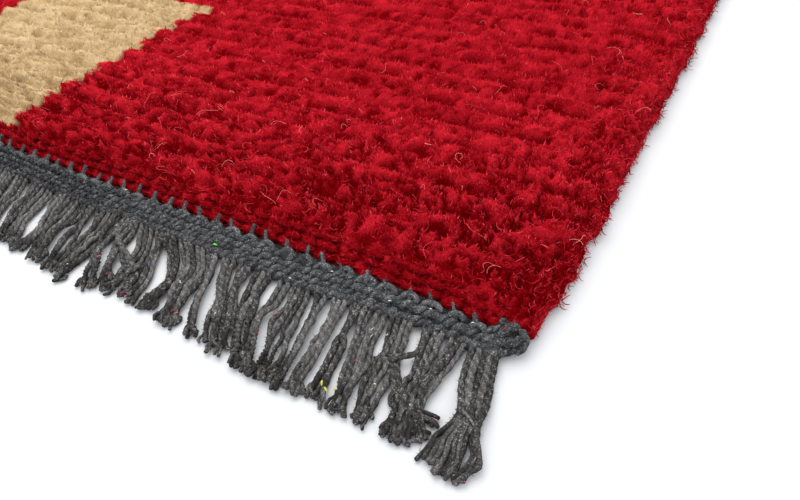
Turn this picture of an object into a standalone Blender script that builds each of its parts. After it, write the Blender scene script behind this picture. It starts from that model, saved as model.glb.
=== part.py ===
"""A hand-knotted wool rug: ribbed pile, bound sides, and a twined band with a corded fringe at each end.

Metres, +Z up. X runs across the rug and Y along it. The origin is on the floor under the rug's middle.
The rug is the same after half a turn about Z, so what is said of the front end holds for the back one.
"""

import math

import bmesh
import bpy
from mathutils import Matrix, Vector, noise

# Driving sizes of the whole rug
RUG_WIDTH = 0.900
PILE_LENGTH = 1.348
CLEARANCE = 0.0004
END_WAVER = 0.0014
SIDE_WAVER = 0.0010

# The pile: rows of tufts across the rug, and a ledge of bare knots at each end
PILE_HEIGHT = 0.0180
ROW_COUNT = 75
ROW_DEPTH = 0.0042
LUMP_HEIGHT = 0.0022
LUMP_SPACING = 0.060
LEDGE_LENGTH = 0.0150
LEDGE_HEIGHT = 0.0066
LEDGE_RISE = 0.0010
CELLS_ACROSS = 12
SHOULDER = 0.0140
EDGE_HEIGHT = 0.0102
SHELF_HEIGHT = 0.0078
TAN_BLOCK_HALF_WIDTH = 0.092
TAN_BLOCK_LENGTH = 0.194

# Locks of pile that lean out over the binding
FACES_PER_LOCK = 3
LOCK_REACH = 0.0085
LOCK_REACH_SPREAD = 0.0022
LOCK_SWAY = 0.0030
LOCK_END_MARGIN = 0.019
LOCK_TIP_LENGTH = 0.0030
LOCK_TIP_THICKNESS = 0.0012

# The oversewn side binding
BINDING_WIDTH = 0.0072
BINDING_HEIGHT = 0.0068
BINDING_WRAP = 0.030
BINDING_WAIST = 0.86
BINDING_SLANT = 0.006

# The twined band across each end
WARP_COUNT = 75
BAND_LENGTH = 0.0170
BAND_HEIGHT = 0.0062
BAND_ROWS = 2
BAND_LUMP = 0.0012
BAND_FRONT_HEIGHT = 0.0050
KNOT_HEIGHT = 0.0094
KNOT_FRONT_HEIGHT = 0.0070
KNOT_WIDTH = 0.0180

# The fringe, one strand to a warp pair
STRAND_WIDTH = 0.0036
STRAND_HEIGHT = 0.0031
STRAND_ROOT_LIFT = 0.0008
STRAND_REACH = 0.0545
STRAND_REACH_SPREAD = 0.0035
STRAND_TIP_SHARE = 0.72
STRAND_LANDING = 0.35
STRAND_INSET = 0.0004
LEAN_FAR = math.radians(38)
LEAN_CORNER = math.radians(14)
LEAN_START = 0.10
LEAN_SWAY = math.radians(3)
LEAN_SWAY_LENGTH = 0.045
TASSEL_STRANDS = 3
TASSEL_X = 0.4476
TASSEL_SPACING = 0.0046
TASSEL_REACH = 0.0575

RED = (0.362, 0.012, 0.018, 1.0)
DARK_RED = (0.250, 0.010, 0.014, 1.0)
TAN = (0.590, 0.342, 0.178, 1.0)
GREY = (0.080, 0.065, 0.066, 1.0)

PILE_HALF_WIDTH = RUG_WIDTH / 2 - BINDING_WIDTH - CLEARANCE
ROW_PITCH = (PILE_LENGTH - 2 * LEDGE_LENGTH) / ROW_COUNT
WARP_PITCH = RUG_WIDTH / WARP_COUNT


def clear_scene():
    for item in list(bpy.data.objects):
        bpy.data.objects.remove(item, do_unlink=True)


def cloth_material(name, color):
    material = bpy.data.materials.new(name)
    material.use_nodes = True
    surface = material.node_tree.nodes["Principled BSDF"]
    surface.inputs["Base Color"].default_value = color
    surface.inputs["Roughness"].default_value = 0.95
    surface.inputs["Metallic"].default_value = 0.0
    return material


def front_end(x):
    """How far in front of the middle the pile ends at x. The end wavers as a hand-made one does."""
    return PILE_LENGTH / 2 + END_WAVER * math.sin(9 * x + 0.6)


def right_side(y):
    """How far right of the middle the pile ends at y."""
    return PILE_HALF_WIDTH + SIDE_WAVER * (math.sin(8 * y + 1.0) + 0.6 * math.sin(21 * y))


def place_on_rug(across, along):
    """The point at across and along, each from -1 to 1, between the rug's wavering sides and ends."""
    level = along * PILE_LENGTH / 2
    right = right_side(level)
    left = right_side(-level)
    x = across * (right + left) / 2 + (right - left) / 2
    return x, along * (front_end(x) if along < 0 else front_end(-x))


def stations_across():
    """Where the pile's grid has points across the rug: close to each side, then evenly between."""
    inner = 1 - SHOULDER / PILE_HALF_WIDTH
    middle = [inner * (2 * k / (CELLS_ACROSS - 2) - 1) for k in range(CELLS_ACROSS - 1)]
    return [-1.0] + middle + [1.0]


def stations_along():
    """Where the pile's grid has points along the rug: the ends, then each row's groove and ridge."""
    half = PILE_LENGTH / 2
    steps = [k * ROW_PITCH / 2 + LEDGE_LENGTH - half for k in range(2 * ROW_COUNT + 1)]
    return [-1.0] + [step / half for step in steps] + [1.0]


def pile_top(column, row, x, y):
    """The pile's height: a ridge on each row, lower at the sides, and a bare ledge at each end."""
    last_row = 2 * ROW_COUNT + 2
    if row in (0, last_row):
        return LEDGE_HEIGHT
    if row in (1, last_row - 1):
        return LEDGE_HEIGHT + LEDGE_RISE
    if column in (0, CELLS_ACROSS):
        return EDGE_HEIGHT
    groove = ROW_DEPTH if row % 2 else 0.0
    lump = noise.noise(Vector((x, y, 0.0)) / LUMP_SPACING)
    return PILE_HEIGHT - groove + LUMP_HEIGHT * lump


def object_from(bm, name, collection, materials):
    bmesh.ops.recalc_face_normals(bm, faces=bm.faces)
    mesh = bpy.data.meshes.new(name)
    bm.to_mesh(mesh)
    bm.free()
    for material in materials:
        mesh.materials.append(material)
    item = bpy.data.objects.new(name, mesh)
    collection.objects.link(item)
    return item


def wall_down(bm, edges, height_at):
    """Extrude a rim down and set each new point's height from its old one. Returns the new edges."""
    made = bmesh.ops.extrude_edge_only(bm, edges=edges)["geom"]
    for vert in (v for v in made if isinstance(v, bmesh.types.BMVert)):
        vert.co.z = height_at(vert.co.z)
    return [e for e in made if isinstance(e, bmesh.types.BMEdge) and e.is_boundary]


def reshape(face, centre, side, up, width, height):
    """Set a four-sided face to a rectangle of that width along side and that height along up."""
    middle = face.calc_center_median()
    for vert in face.verts:
        offset = vert.co - middle
        right = math.copysign(width / 2, offset.dot(side))
        above = math.copysign(height / 2, offset.dot(up))
        vert.co = centre + side * right + up * above


def grow(bm, face):
    """Extrude one face on its own and return the new one."""
    return bmesh.ops.extrude_discrete_faces(bm, faces=[face])["faces"][0]


def pile(collection):
    bm = bmesh.new()
    across = stations_across()
    along = stations_along()
    rows = len(along) - 1
    bmesh.ops.create_grid(bm, x_segments=CELLS_ACROSS, y_segments=rows, size=1.0)
    for vert in bm.verts:
        column = round((vert.co.x + 1) / 2 * CELLS_ACROSS)
        row = round((vert.co.y + 1) / 2 * rows)
        x, y = place_on_rug(across[column], along[row])
        vert.co = Vector((x, y, pile_top(column, row, x, y)))
    for face in bm.faces:
        middle = face.calc_center_median()
        in_block = abs(middle.x) < TAN_BLOCK_HALF_WIDTH
        near_end = abs(middle.y) > PILE_LENGTH / 2 - TAN_BLOCK_LENGTH
        face.material_index = 1 if in_block and near_end else 0

    shelf_share = SHELF_HEIGHT / EDGE_HEIGHT
    rim = [edge for edge in bm.edges if edge.is_boundary]
    shelf = wall_down(bm, rim, lambda height: height * shelf_share)
    side_faces = [face for face in bm.faces if abs(face.normal.x) > 0.9 and len(face.verts) == 4]
    foot = wall_down(bm, shelf, lambda height: 0.0)
    bmesh.ops.contextual_create(bm, geom=foot)
    rim_locks(bm, side_faces)
    return object_from(bm, "pile", collection, [PAINTS["red"], PAINTS["tan"]])


def rim_locks(bm, side_faces):
    """Draw every third upper side face out to a lock that leans over the binding."""
    up = Vector((0, 0, 1))
    along = Vector((0, 1, 0))
    for turn in (1, -1):
        faces = [face for face in side_faces if face.calc_center_median().x * turn > 0]
        faces = [f for f in faces if abs(f.calc_center_median().y) < PILE_LENGTH / 2 - LOCK_END_MARGIN]
        faces.sort(key=lambda face: face.calc_center_median().y * turn)
        for number, face in enumerate(faces[1::FACES_PER_LOCK]):
            middle = face.calc_center_median()
            sway = math.sin(2.4 * number)
            reach = LOCK_REACH + LOCK_REACH_SPREAD * sway
            out = Vector((turn * reach, turn * LOCK_SWAY * math.sin(1.7 * number), 0))
            tip = grow(bm, face)
            reshape(tip, middle + out, along, up, LOCK_TIP_LENGTH, LOCK_TIP_THICKNESS)


# The binding's section as shares of its width and height, from its inner foot round by the outside
BINDING_PROFILE = (
    # out, high
    (0.00, 0.00),
    (0.92, 0.00),
    (1.00, 0.42),
    (0.80, 1.00),
    (0.24, 1.00),
    (0.00, 0.55),
)


def binding_ring(step, steps):
    """One ring of the right binding. Every second ring is a waist between two wraps, and all slant."""
    waist = 1.0 if step % 2 else BINDING_WAIST
    share = step / steps
    ring = []
    for out, high in BINDING_PROFILE:
        y = (2 * share - 1) * PILE_LENGTH / 2
        if 0 < step < steps:
            y += BINDING_SLANT * (high - 0.5)
        x = right_side(y) + CLEARANCE + BINDING_WIDTH * waist * out
        if step == 0:
            y = -front_end(x)
        if step == steps:
            y = front_end(-x)
        ring.append(Vector((x, y, BINDING_HEIGHT * waist * high)))
    return ring


def angle_about_z(vert):
    return math.atan2(vert.co.y, vert.co.x) % math.tau


def side_binding(name, turn, collection):
    bm = bmesh.new()
    steps = 2 * round(PILE_LENGTH / BINDING_WRAP) + 1
    sides = len(BINDING_PROFILE)
    bmesh.ops.create_cone(bm, cap_ends=True, segments=sides, radius1=1.0, radius2=1.0, depth=1.0)
    caps = sorted((f for f in bm.faces if len(f.verts) == sides), key=lambda f: f.calc_center_median().z)
    near, far = caps
    near_verts = sorted(near.verts, key=angle_about_z)
    far_verts = sorted(far.verts, key=angle_about_z)
    for verts, step in ((near_verts, 0), (far_verts, 1)):
        for vert, point in zip(verts, binding_ring(step, steps)):
            vert.co = point
    order = [far_verts.index(vert) for vert in far.verts]
    for step in range(2, steps + 1):
        far = grow(bm, far)
        ring = binding_ring(step, steps)
        for vert, place in zip(far.verts, order):
            vert.co = ring[place]
    if turn:
        bmesh.ops.rotate(bm, cent=(0, 0, 0), matrix=Matrix.Rotation(math.pi, 3, "Z"), verts=bm.verts)
    return object_from(bm, name, collection, [PAINTS["dark red"]])


def band_top(column, row, x):
    """The band's height: twined lumps that alternate, and a knot at its corner."""
    if x > RUG_WIDTH / 2 - KNOT_WIDTH:
        return KNOT_FRONT_HEIGHT if row == 0 else KNOT_HEIGHT
    if row == 0:
        return BAND_FRONT_HEIGHT
    return BAND_HEIGHT + BAND_LUMP * (-1) ** (column + row) / 2


def lean_at(x):
    """How far the strands lean towards +X: less towards the right corner."""
    share = min(max((x - LEAN_START) / (RUG_WIDTH / 2 - LEAN_START), 0.0), 1.0)
    eased = share * share * (3 - 2 * share)
    sway = noise.noise(Vector((x / LEAN_SWAY_LENGTH, 0.3, 0.0)))
    return LEAN_FAR + (LEAN_CORNER - LEAN_FAR) * eased + LEAN_SWAY * sway


def strand(bm, face, number):
    """Grow one fringe strand from the band's front face: over the band's foot, then level on the floor."""
    up = Vector((0, 0, 1))
    across = Vector((1, 0, 0))
    root = face.calc_center_median()
    root.z = STRAND_ROOT_LIFT + STRAND_HEIGHT / 2
    bmesh.ops.inset_individual(bm, faces=[face], thickness=STRAND_INSET, use_even_offset=True)
    reshape(face, root, across, up, STRAND_WIDTH, STRAND_HEIGHT)
    reach = STRAND_REACH + STRAND_REACH_SPREAD * math.sin(2.3 * number)
    tip_x = root.x + reach * math.tan(lean_at(root.x))
    in_tassel = number - (WARP_COUNT - TASSEL_STRANDS)
    if in_tassel >= 0:
        reach = TASSEL_REACH
        tip_x = TASSEL_X + TASSEL_SPACING * (in_tassel - 1)
    tip = Vector((tip_x, root.y - reach, 0))
    side = Vector((reach, tip_x - root.x, 0)).normalized()
    for share, thinner in ((STRAND_LANDING, 1.0), (1.0, STRAND_TIP_SHARE)):
        centre = root.lerp(tip, share)
        centre.z = STRAND_HEIGHT * thinner / 2
        face = grow(bm, face)
        reshape(face, centre, side, up, STRAND_WIDTH * thinner, STRAND_HEIGHT * thinner)


def fringe(name, turn, collection):
    bm = bmesh.new()
    bmesh.ops.create_grid(bm, x_segments=WARP_COUNT, y_segments=BAND_ROWS, size=1.0)
    for vert in bm.verts:
        column = round((vert.co.x + 1) / 2 * WARP_COUNT)
        row = round((vert.co.y + 1) / 2 * BAND_ROWS)
        x = RUG_WIDTH * (column / WARP_COUNT - 0.5)
        depth = CLEARANCE + BAND_LENGTH * (1 - row / BAND_ROWS)
        vert.co = Vector((x, -front_end(x) - depth, band_top(column, row, x)))
    rim = [edge for edge in bm.edges if edge.is_boundary]
    foot = wall_down(bm, rim, lambda height: 0.0)
    bmesh.ops.contextual_create(bm, geom=foot)
    bmesh.ops.recalc_face_normals(bm, faces=bm.faces)
    front = [face for face in bm.faces if face.normal.y < -0.9]
    front.sort(key=lambda face: face.calc_center_median().x)
    for number, face in enumerate(front):
        strand(bm, face, number)
    if turn:
        bmesh.ops.rotate(bm, cent=(0, 0, 0), matrix=Matrix.Rotation(math.pi, 3, "Z"), verts=bm.verts)
    return object_from(bm, name, collection, [PAINTS["grey"]])


clear_scene()
PAINTS = {
    "red": cloth_material("red wool", RED),
    "dark red": cloth_material("dark red wool", DARK_RED),
    "tan": cloth_material("tan wool", TAN),
    "grey": cloth_material("grey yarn", GREY),
}
rug = bpy.data.collections.new("nepalese rug")
bpy.context.scene.collection.children.link(rug)
pile(rug)
side_binding("side_binding_right", False, rug)
side_binding("side_binding_left", True, rug)
fringe("fringe_front", False, rug)
fringe("fringe_back", True, rug)
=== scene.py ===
"""The looks of a hand-knotted wool rug that lies flat on a floor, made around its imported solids.

Metres, +Z up. X runs across the rug and Y along it. The photographed corner is the front right one, at
+X and -Y. Half a turn about Z brings the back end and the left side onto the front and right ones.
"""

import math

import bpy
import numpy as np
from mathutils import Matrix, Vector


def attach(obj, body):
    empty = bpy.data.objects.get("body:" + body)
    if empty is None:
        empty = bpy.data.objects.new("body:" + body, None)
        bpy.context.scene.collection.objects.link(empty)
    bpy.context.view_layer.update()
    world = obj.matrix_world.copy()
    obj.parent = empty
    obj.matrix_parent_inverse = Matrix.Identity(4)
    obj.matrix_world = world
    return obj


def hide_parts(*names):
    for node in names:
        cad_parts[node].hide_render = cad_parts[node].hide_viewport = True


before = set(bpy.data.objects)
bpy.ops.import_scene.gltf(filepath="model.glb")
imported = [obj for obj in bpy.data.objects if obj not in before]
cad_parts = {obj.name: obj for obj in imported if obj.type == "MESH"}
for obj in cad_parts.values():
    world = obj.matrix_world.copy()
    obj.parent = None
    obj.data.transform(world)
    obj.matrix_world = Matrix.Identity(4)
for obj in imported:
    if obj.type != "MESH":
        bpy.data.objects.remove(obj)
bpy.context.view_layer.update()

# The rug's own sizes, as its solids have them
PILE_LENGTH = 1.348
RUG_WIDTH = 0.900
BINDING_WIDTH = 0.0072
CLEARANCE = 0.0004
END_WAVER = 0.0014
CORNER_BOW = 0.0028
SIDE_WAVER = 0.0010
ROW_COUNT = 75
LEDGE_LENGTH = 0.0150
WARP_COUNT = 75
HALF_LENGTH = PILE_LENGTH / 2
PILE_HALF_WIDTH = RUG_WIDTH / 2 - BINDING_WIDTH - CLEARANCE
ROW_PITCH = (PILE_LENGTH - 2 * LEDGE_LENGTH) / ROW_COUNT
WARP_PITCH = RUG_WIDTH / WARP_COUNT

# The camera: its place, its axes and its lens, from the rows and the side of the rug
EYE = np.array((0.509, -0.852, 0.236))
EYE_RIGHT = np.array((0.85876, 0.50474, -0.08813))
EYE_UP = np.array((-0.29461, 0.62715, 0.72103))
EYE_BACK = np.array((0.41920, -0.59323, 0.68728))
LENS = 30.09
SENSOR = 36.0
PICTURE = (800, 500)
PIXELS = PICTURE[0] * LENS / SENSOR

# The pile
TUFT_WIDTH = 0.0060
TUFT_LENGTH = ROW_PITCH / 3
CLUMP_SIZE = 0.80
PILE_HEIGHT = 0.0138
LEDGE_HEIGHT = 0.0050
GROOVE_DEPTH = 0.0085
GROOVE_WIDTH = 0.0021
TAN_EDGES = (-0.0985, 0.0700)
TAN_LENGTH = 0.194

LATTICE = 64
# How much darker the grooves between two plies are painted, as shade
PLY_SHADE = 0.36
UP = np.array((0.0, 0.0, 1.0))


def soft_noise(x, y, seed):
    """Smooth noise from -1 to 1 that changes over about one unit."""
    table = np.random.default_rng(seed).uniform(-1, 1, (LATTICE, LATTICE))
    x, y = np.broadcast_arrays(np.asarray(x, float), np.asarray(y, float))
    left = np.floor(x).astype(int)
    low = np.floor(y).astype(int)
    u = x - left
    v = y - low
    u = u * u * (3 - 2 * u)
    v = v * v * (3 - 2 * v)

    def at(i, j):
        return table[(left + i) % LATTICE, (low + j) % LATTICE]

    near = at(0, 0) * (1 - u) + at(1, 0) * u
    far = at(0, 1) * (1 - u) + at(1, 1) * u
    return near * (1 - v) + far * v


def smooth_step(low, high, value):
    share = np.clip((value - low) / (high - low), 0, 1)
    return share * share * (3 - 2 * share)


def unit(vectors):
    return vectors / np.maximum(np.linalg.norm(vectors, axis=-1, keepdims=True), 1e-12)


def front_end(x):
    """How far the pile reaches at the front: its end wavers, and bows out a little at the corners."""
    bow = CORNER_BOW * smooth_step(0.400, 0.438, np.abs(x))
    return HALF_LENGTH + END_WAVER * np.sin(9 * x + 0.6) + bow


def right_side(y):
    return PILE_HALF_WIDTH + SIDE_WAVER * (np.sin(8 * y + 1.0) + 0.6 * np.sin(21 * y))


def picture_place(points):
    """Each point's pixel across and down in the photographed view, and its distance from the eye."""
    ray = points - EYE
    depth = -(ray @ EYE_BACK)
    deep = np.maximum(depth, 0.05)
    across = PICTURE[0] / 2 + PIXELS * (ray @ EYE_RIGHT) / deep
    down = PICTURE[1] / 2 - PIXELS * (ray @ EYE_UP) / deep
    return across, down, depth


def in_picture(points, soft=70.0):
    """1 where the photographed view shows a point, falling to 0 over a soft border of pixels."""
    across, down, depth = picture_place(points)
    outside = np.maximum(np.maximum(-across, across - PICTURE[0]), np.maximum(-down, down - PICTURE[1]))
    return np.where(depth > 0, np.clip(1 - outside / soft, 0, 1), 0)


class Heap:
    """Points and faces gathered into one piece, with the numbers its material reads at each point."""

    def __init__(self):
        self.points = []
        self.faces = {3: [], 4: []}
        self.normals = []
        # The tip number is the brightness that the materials paint: painted light and shade in most
        # places, random in some
        self.numbers = {"tone": [], "tip": [], "block": []}
        self.count = 0

    def add(self, points, faces, normals=None, tone=0.0, tip=1.0, block=0.0):
        points = np.asarray(points, float).reshape(-1, 3)
        total = len(points)
        for part in faces if isinstance(faces, list) else [faces]:
            self.faces[part.shape[1]].append(part + self.count)
        self.points.append(points)
        if normals is not None:
            self.normals.append(np.asarray(normals, float).reshape(-1, 3))
        for name, value in (("tone", tone), ("tip", tip), ("block", block)):
            self.numbers[name].append(np.broadcast_to(np.asarray(value, float).ravel(), (total,)))
        self.count += total

    def piece(self, name, material):
        mesh = bpy.data.meshes.new(name)
        mesh.vertices.add(self.count)
        mesh.vertices.foreach_set("co", np.concatenate(self.points).astype(np.float32).ravel())
        corners = []
        starts = []
        used = 0
        for sides, parts in self.faces.items():
            if parts:
                block = np.concatenate(parts)
                corners.append(block.ravel())
                starts.append(used + sides * np.arange(len(block)))
                used += block.size
        corners = np.concatenate(corners).astype(np.int32)
        starts = np.concatenate(starts).astype(np.int32)
        mesh.loops.add(len(corners))
        mesh.loops.foreach_set("vertex_index", corners)
        mesh.polygons.add(len(starts))
        mesh.polygons.foreach_set("loop_start", starts)
        mesh.update(calc_edges=True)
        mesh.shade_smooth()
        for label, parts in self.numbers.items():
            values = np.concatenate(parts).astype(np.float32)
            mesh.attributes.new(label, "FLOAT", "POINT").data.foreach_set("value", values)
        if self.normals:
            mesh.normals_split_custom_set_from_vertices(np.concatenate(self.normals))
        mesh.materials.append(material)
        item = bpy.data.objects.new(name, mesh)
        bpy.context.scene.collection.objects.link(item)
        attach(item, "root")
        return item


def grid_faces(rows, columns, closed=False):
    """The faces of a grid of points, rows by columns. A closed grid's last column meets its first."""
    numbers = np.arange(rows * columns).reshape(rows, columns)
    beside = np.roll(numbers, -1, axis=1)
    if not closed:
        numbers, beside = numbers[:, :-1], beside[:, :-1]
    quads = (numbers[:-1], beside[:-1], beside[1:], numbers[1:])
    return np.stack([part.ravel() for part in quads], axis=1)


def grid_normals(points):
    """The upward normals of a grid of points, from its rows and columns."""
    return unit(np.cross(np.gradient(points, axis=1), np.gradient(points, axis=0)))


def spikes(heap, roots, tips, thickness, normals, rng, tone=0.0, block=0.0, root=0.0, bright=1.0):
    """Add thin three-sided fibres, each as bright at its root and at its tip as root and bright say."""
    count = len(roots)
    along = unit(tips - roots)
    side = unit(np.cross(along, unit(rng.normal(size=roots.shape))))
    other = np.cross(along, side)
    corners = []
    for turn in range(3):
        angle = math.tau * turn / 3
        corners.append(roots + thickness[:, None] * (math.cos(angle) * side + math.sin(angle) * other))
    points = np.stack(corners + [tips], axis=1)
    first = 4 * np.arange(count)[:, None, None]
    faces = (first + np.array([[0, 1, 3], [1, 2, 3], [2, 0, 3]])).reshape(-1, 3)
    # The tip number runs from root to bright along each fibre: a low root paints shade where the fibre
    # enters its yarn or pile
    tip = np.stack([np.broadcast_to(value, (count,)) for value in (root, root, root, bright)], axis=1)
    tone, block = (np.repeat(np.broadcast_to(value, (count,)), 4) for value in (tone, block))
    heap.add(points, faces, np.repeat(normals, 4, axis=0), tone, tip, block)


def smooth_path(stations, steps):
    """Smooth curves through stations, an array of curves by stations by 3, each as that many points."""
    stations = np.asarray(stations, float)
    count = stations.shape[1]
    before = 2 * stations[:, :1] - stations[:, 1:2]
    after = 2 * stations[:, -1:] - stations[:, -2:-1]
    padded = np.concatenate([before, stations, after], axis=1)
    place = np.linspace(0, count - 1, steps)
    span = np.minimum(place.astype(int), count - 2)
    t = (place - span)[None, :, None]
    a, b, c, d = (padded[:, span + k] for k in range(4))
    return b + 0.5 * t * (c - a + t * (2 * a - 5 * b + 4 * c - d + t * (3 * (b - c) + d - a)))


def tubes(heap, paths, radius, sides, ply=0.0, pitch=1.0, phase=0.0, tone=0.0, tip=1.0, block=0.0):
    """Add cords along paths, an array of cords by points by 3, closed at both ends.

    A cord with a ply is a two-ply yarn: its section has two lobes, which turn once in each pitch. The
    tip is one number for each cord, or one for each of its points.
    """
    paths = np.asarray(paths, float)
    cords, steps, _ = paths.shape
    radius = np.broadcast_to(radius, (cords, steps))
    ahead = unit(np.gradient(paths, axis=1))
    side = unit(np.cross(ahead, UP))
    above = np.cross(side, ahead)
    lengths = np.linalg.norm(np.diff(paths, axis=1), axis=2)
    run = np.concatenate([np.zeros((cords, 1)), np.cumsum(lengths, axis=1)], axis=1)
    around = math.tau * np.arange(sides) / sides
    turn = math.tau * run / pitch + np.reshape(phase, (-1, 1))
    angle = around + (turn[:, :, None] if ply else 0.0) + np.zeros((cords, steps, 1))
    reach = radius[:, :, None] * (1 + ply * np.cos(2 * around))
    ring = (
        paths[:, :, None, :]
        + (reach * np.cos(angle))[..., None] * side[:, :, None, :]
        + (reach * np.sin(angle))[..., None] * above[:, :, None, :]
    )
    points = ring.reshape(cords, steps * sides, 3)
    start = paths[:, 0] - ahead[:, 0] * radius[:, :1] * 0.6
    end = paths[:, -1] + ahead[:, -1] * radius[:, -1:] * 0.6
    points = np.concatenate([points, start[:, None], end[:, None]], axis=1)
    walls = grid_faces(steps, sides, closed=True)[:, ::-1]
    spot = np.arange(sides)
    beside = np.roll(spot, -1)
    last = (steps - 1) * sides
    caps = np.concatenate([
        np.stack([spot, beside, np.full(sides, steps * sides)], axis=1),
        np.stack([last + beside, last + spot, np.full(sides, steps * sides + 1)], axis=1),
    ])
    each = steps * sides + 2
    first = each * np.arange(cords)[:, None, None]
    tone, block = (np.repeat(np.broadcast_to(value, (cords,)), each) for value in (tone, block))
    if np.ndim(tip) == 2:
        tip = np.concatenate([np.repeat(tip, sides, axis=1), tip[:, :1], tip[:, -1:]], axis=1).ravel()
    else:
        tip = np.repeat(np.broadcast_to(tip, (cords,)), each)
    # Painted shade in the grooves between the two plies, where the lobes of the section meet
    if ply:
        crest = np.concatenate([np.tile(np.cos(2 * around), steps), np.ones(2)])
        tip = tip - PLY_SHADE * (1 - np.tile(crest, cords))
    faces = [(walls + first).reshape(-1, 4), (caps + first).reshape(-1, 3)]
    heap.add(points, faces, None, tone, tip, block)


def fuzz(heap, paths, thick, per_metre, length, rng):
    """Add loose hairs that stand out of cords, rooted inside them."""
    cords, steps, _ = paths.shape
    lengths = np.linalg.norm(np.diff(paths, axis=1), axis=2).sum(axis=1)
    number = (lengths * per_metre).astype(int)
    cord = np.repeat(np.arange(cords), number)
    place = rng.random(len(cord)) * (steps - 1.001)
    low = place.astype(int)
    share = (place - low)[:, None]
    spot = paths[cord, low] * (1 - share) + paths[cord, low + 1] * share
    ahead = unit(paths[cord, low + 1] - paths[cord, low])
    out = unit(np.cross(ahead, rng.normal(size=spot.shape)))
    out[:, 2] = np.abs(out[:, 2]) * 0.8 + 0.1
    out = unit(out)
    roots = spot + out * 0.5 * thick
    way = unit(out + ahead * rng.normal(size=(len(cord), 1)) * 1.3)
    tips = roots + way * (0.5 * thick + length * rng.uniform(0.4, 1.3, (len(cord), 1)))
    tips[:, 2] = np.maximum(tips[:, 2], 0.0003)
    width = rng.uniform(0.6, 1.3, len(cord)) * 0.00016
    spikes(heap, roots, tips, width, unit(out + 0.5 * UP), rng, tone=rng.uniform(-0.2, 1.0, len(cord)))


def lines_from(focus, low, high, finest, growth, coarsest):
    """Places from low to high, finest apart at the focus and wider apart away from it."""

    def walk(end):
        places = []
        at = focus
        while abs(end - at) > 1e-9:
            step = min(finest + growth * abs(at - focus), coarsest)
            at = end if abs(end - at) < 1.5 * step else at + math.copysign(step, end - at)
            places.append(at)
        return places

    return np.array(walk(low)[::-1] + [focus] + walk(high))


def tufts(x, level, size=1.0):
    """The nearest tuft of each point: how far its middle is, where its middle is, two numbers of its
    own, and how much further the next tuft is."""
    rng = np.random.default_rng(11)
    shift = rng.uniform(-0.33, 0.33, (2, LATTICE * 4, LATTICE * 8))
    own = rng.uniform(-1, 1, (2, LATTICE * 4, LATTICE * 8))
    wide, long = TUFT_WIDTH * size, TUFT_LENGTH * size
    column = np.floor(x / wide).astype(int)
    row = np.floor(level / long).astype(int)
    best = np.full(x.shape, 1e9)
    after = np.full(x.shape, 1e9)
    middle_x = np.zeros(x.shape)
    middle_level = np.zeros(x.shape)
    first = np.zeros(x.shape)
    second = np.zeros(x.shape)
    for i in (-1, 0, 1):
        for j in (-1, 0, 1):
            spot = (column + i) % (LATTICE * 4), (row + j) % (LATTICE * 8)
            cx = (column + i + 0.5 + shift[0][spot] + 0.5 * ((row + j) % 2)) * wide
            cy = (row + j + 0.5 + shift[1][spot]) * long
            gap = np.hypot(x - cx, level - cy)
            nearer = gap < best
            after = np.where(nearer, best, np.minimum(after, gap))
            best = np.where(nearer, gap, best)
            middle_x = np.where(nearer, cx, middle_x)
            middle_level = np.where(nearer, cy, middle_level)
            first = np.where(nearer, own[0][spot], first)
            second = np.where(nearer, own[1][spot], second)
    return best, middle_x, middle_level, first, second, after - best


def curliness(x, y, side=0.25):
    """How much the pile stands in small curls: fully at the worn corners, least in the middle."""
    from_end = HALF_LENGTH - np.abs(y)
    from_side = PILE_HALF_WIDTH - np.abs(x)
    corner = np.exp(-((np.hypot(from_end, from_side) / 0.13) ** 2))
    edge = np.exp(-((from_side / 0.035) ** 2)) * side + np.exp(-((from_end / 0.11) ** 2)) * 0.80
    return np.clip(0.30 + 0.7 * np.maximum(corner, edge), 0, 1)


def level_of(x, y):
    """The rug's own place along its length, counted from behind the front ledge of bare knots."""
    end = np.where(y < 0, front_end(x), front_end(-x))
    return y / end * HALF_LENGTH + HALF_LENGTH - LEDGE_LENGTH


def openness(curl):
    """How much light reaches the wool: least in the smooth middle and at the worn corners."""
    return 0.70 + 0.16 * smooth_step(0.35, 0.60, curl) - 0.19 * smooth_step(0.90, 1.0, curl)


def in_tan_block(x, y):
    """1 in the tan block at each end, whose sides waver as the knots do."""
    turned = np.where(y < 0, x, -x)
    from_end = HALF_LENGTH - np.abs(y)
    waver = 0.003 * soft_noise(from_end / 0.02, np.sign(turned), 71)
    widening = 0.006 * smooth_step(0.04, 0.13, from_end)
    widening = widening + 0.009 * smooth_step(0.13, TAN_LENGTH, from_end)
    inside = (turned > TAN_EDGES[0] + waver) & (turned < TAN_EDGES[1] + waver + widening)
    return (inside & (from_end < TAN_LENGTH) & (from_end > 0.010)).astype(float)


def row_place(x, y):
    """Where a point is along the wavering rows of knots, and how far the nearest furrow is."""
    level = level_of(x, y) + 0.0022 * soft_noise(x / 0.05, y / 0.03, 21)
    level = level + 0.0010 * soft_noise(x / 0.012, y / 0.02, 22)
    row = level / ROW_PITCH
    share = row - np.floor(row)
    return level, row, np.minimum(share, 1 - share) * ROW_PITCH


def clumps(x, y):
    """The small clumps of the tousled pile: their own tufts, whose sides are pulled about."""
    pulled_x = x + 0.0011 * soft_noise(x / 0.004, y / 0.004, 24)
    pulled_y = y + 0.0011 * soft_noise(x / 0.004, y / 0.004, 25)
    return tufts(pulled_x, pulled_y, CLUMP_SIZE)


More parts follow.
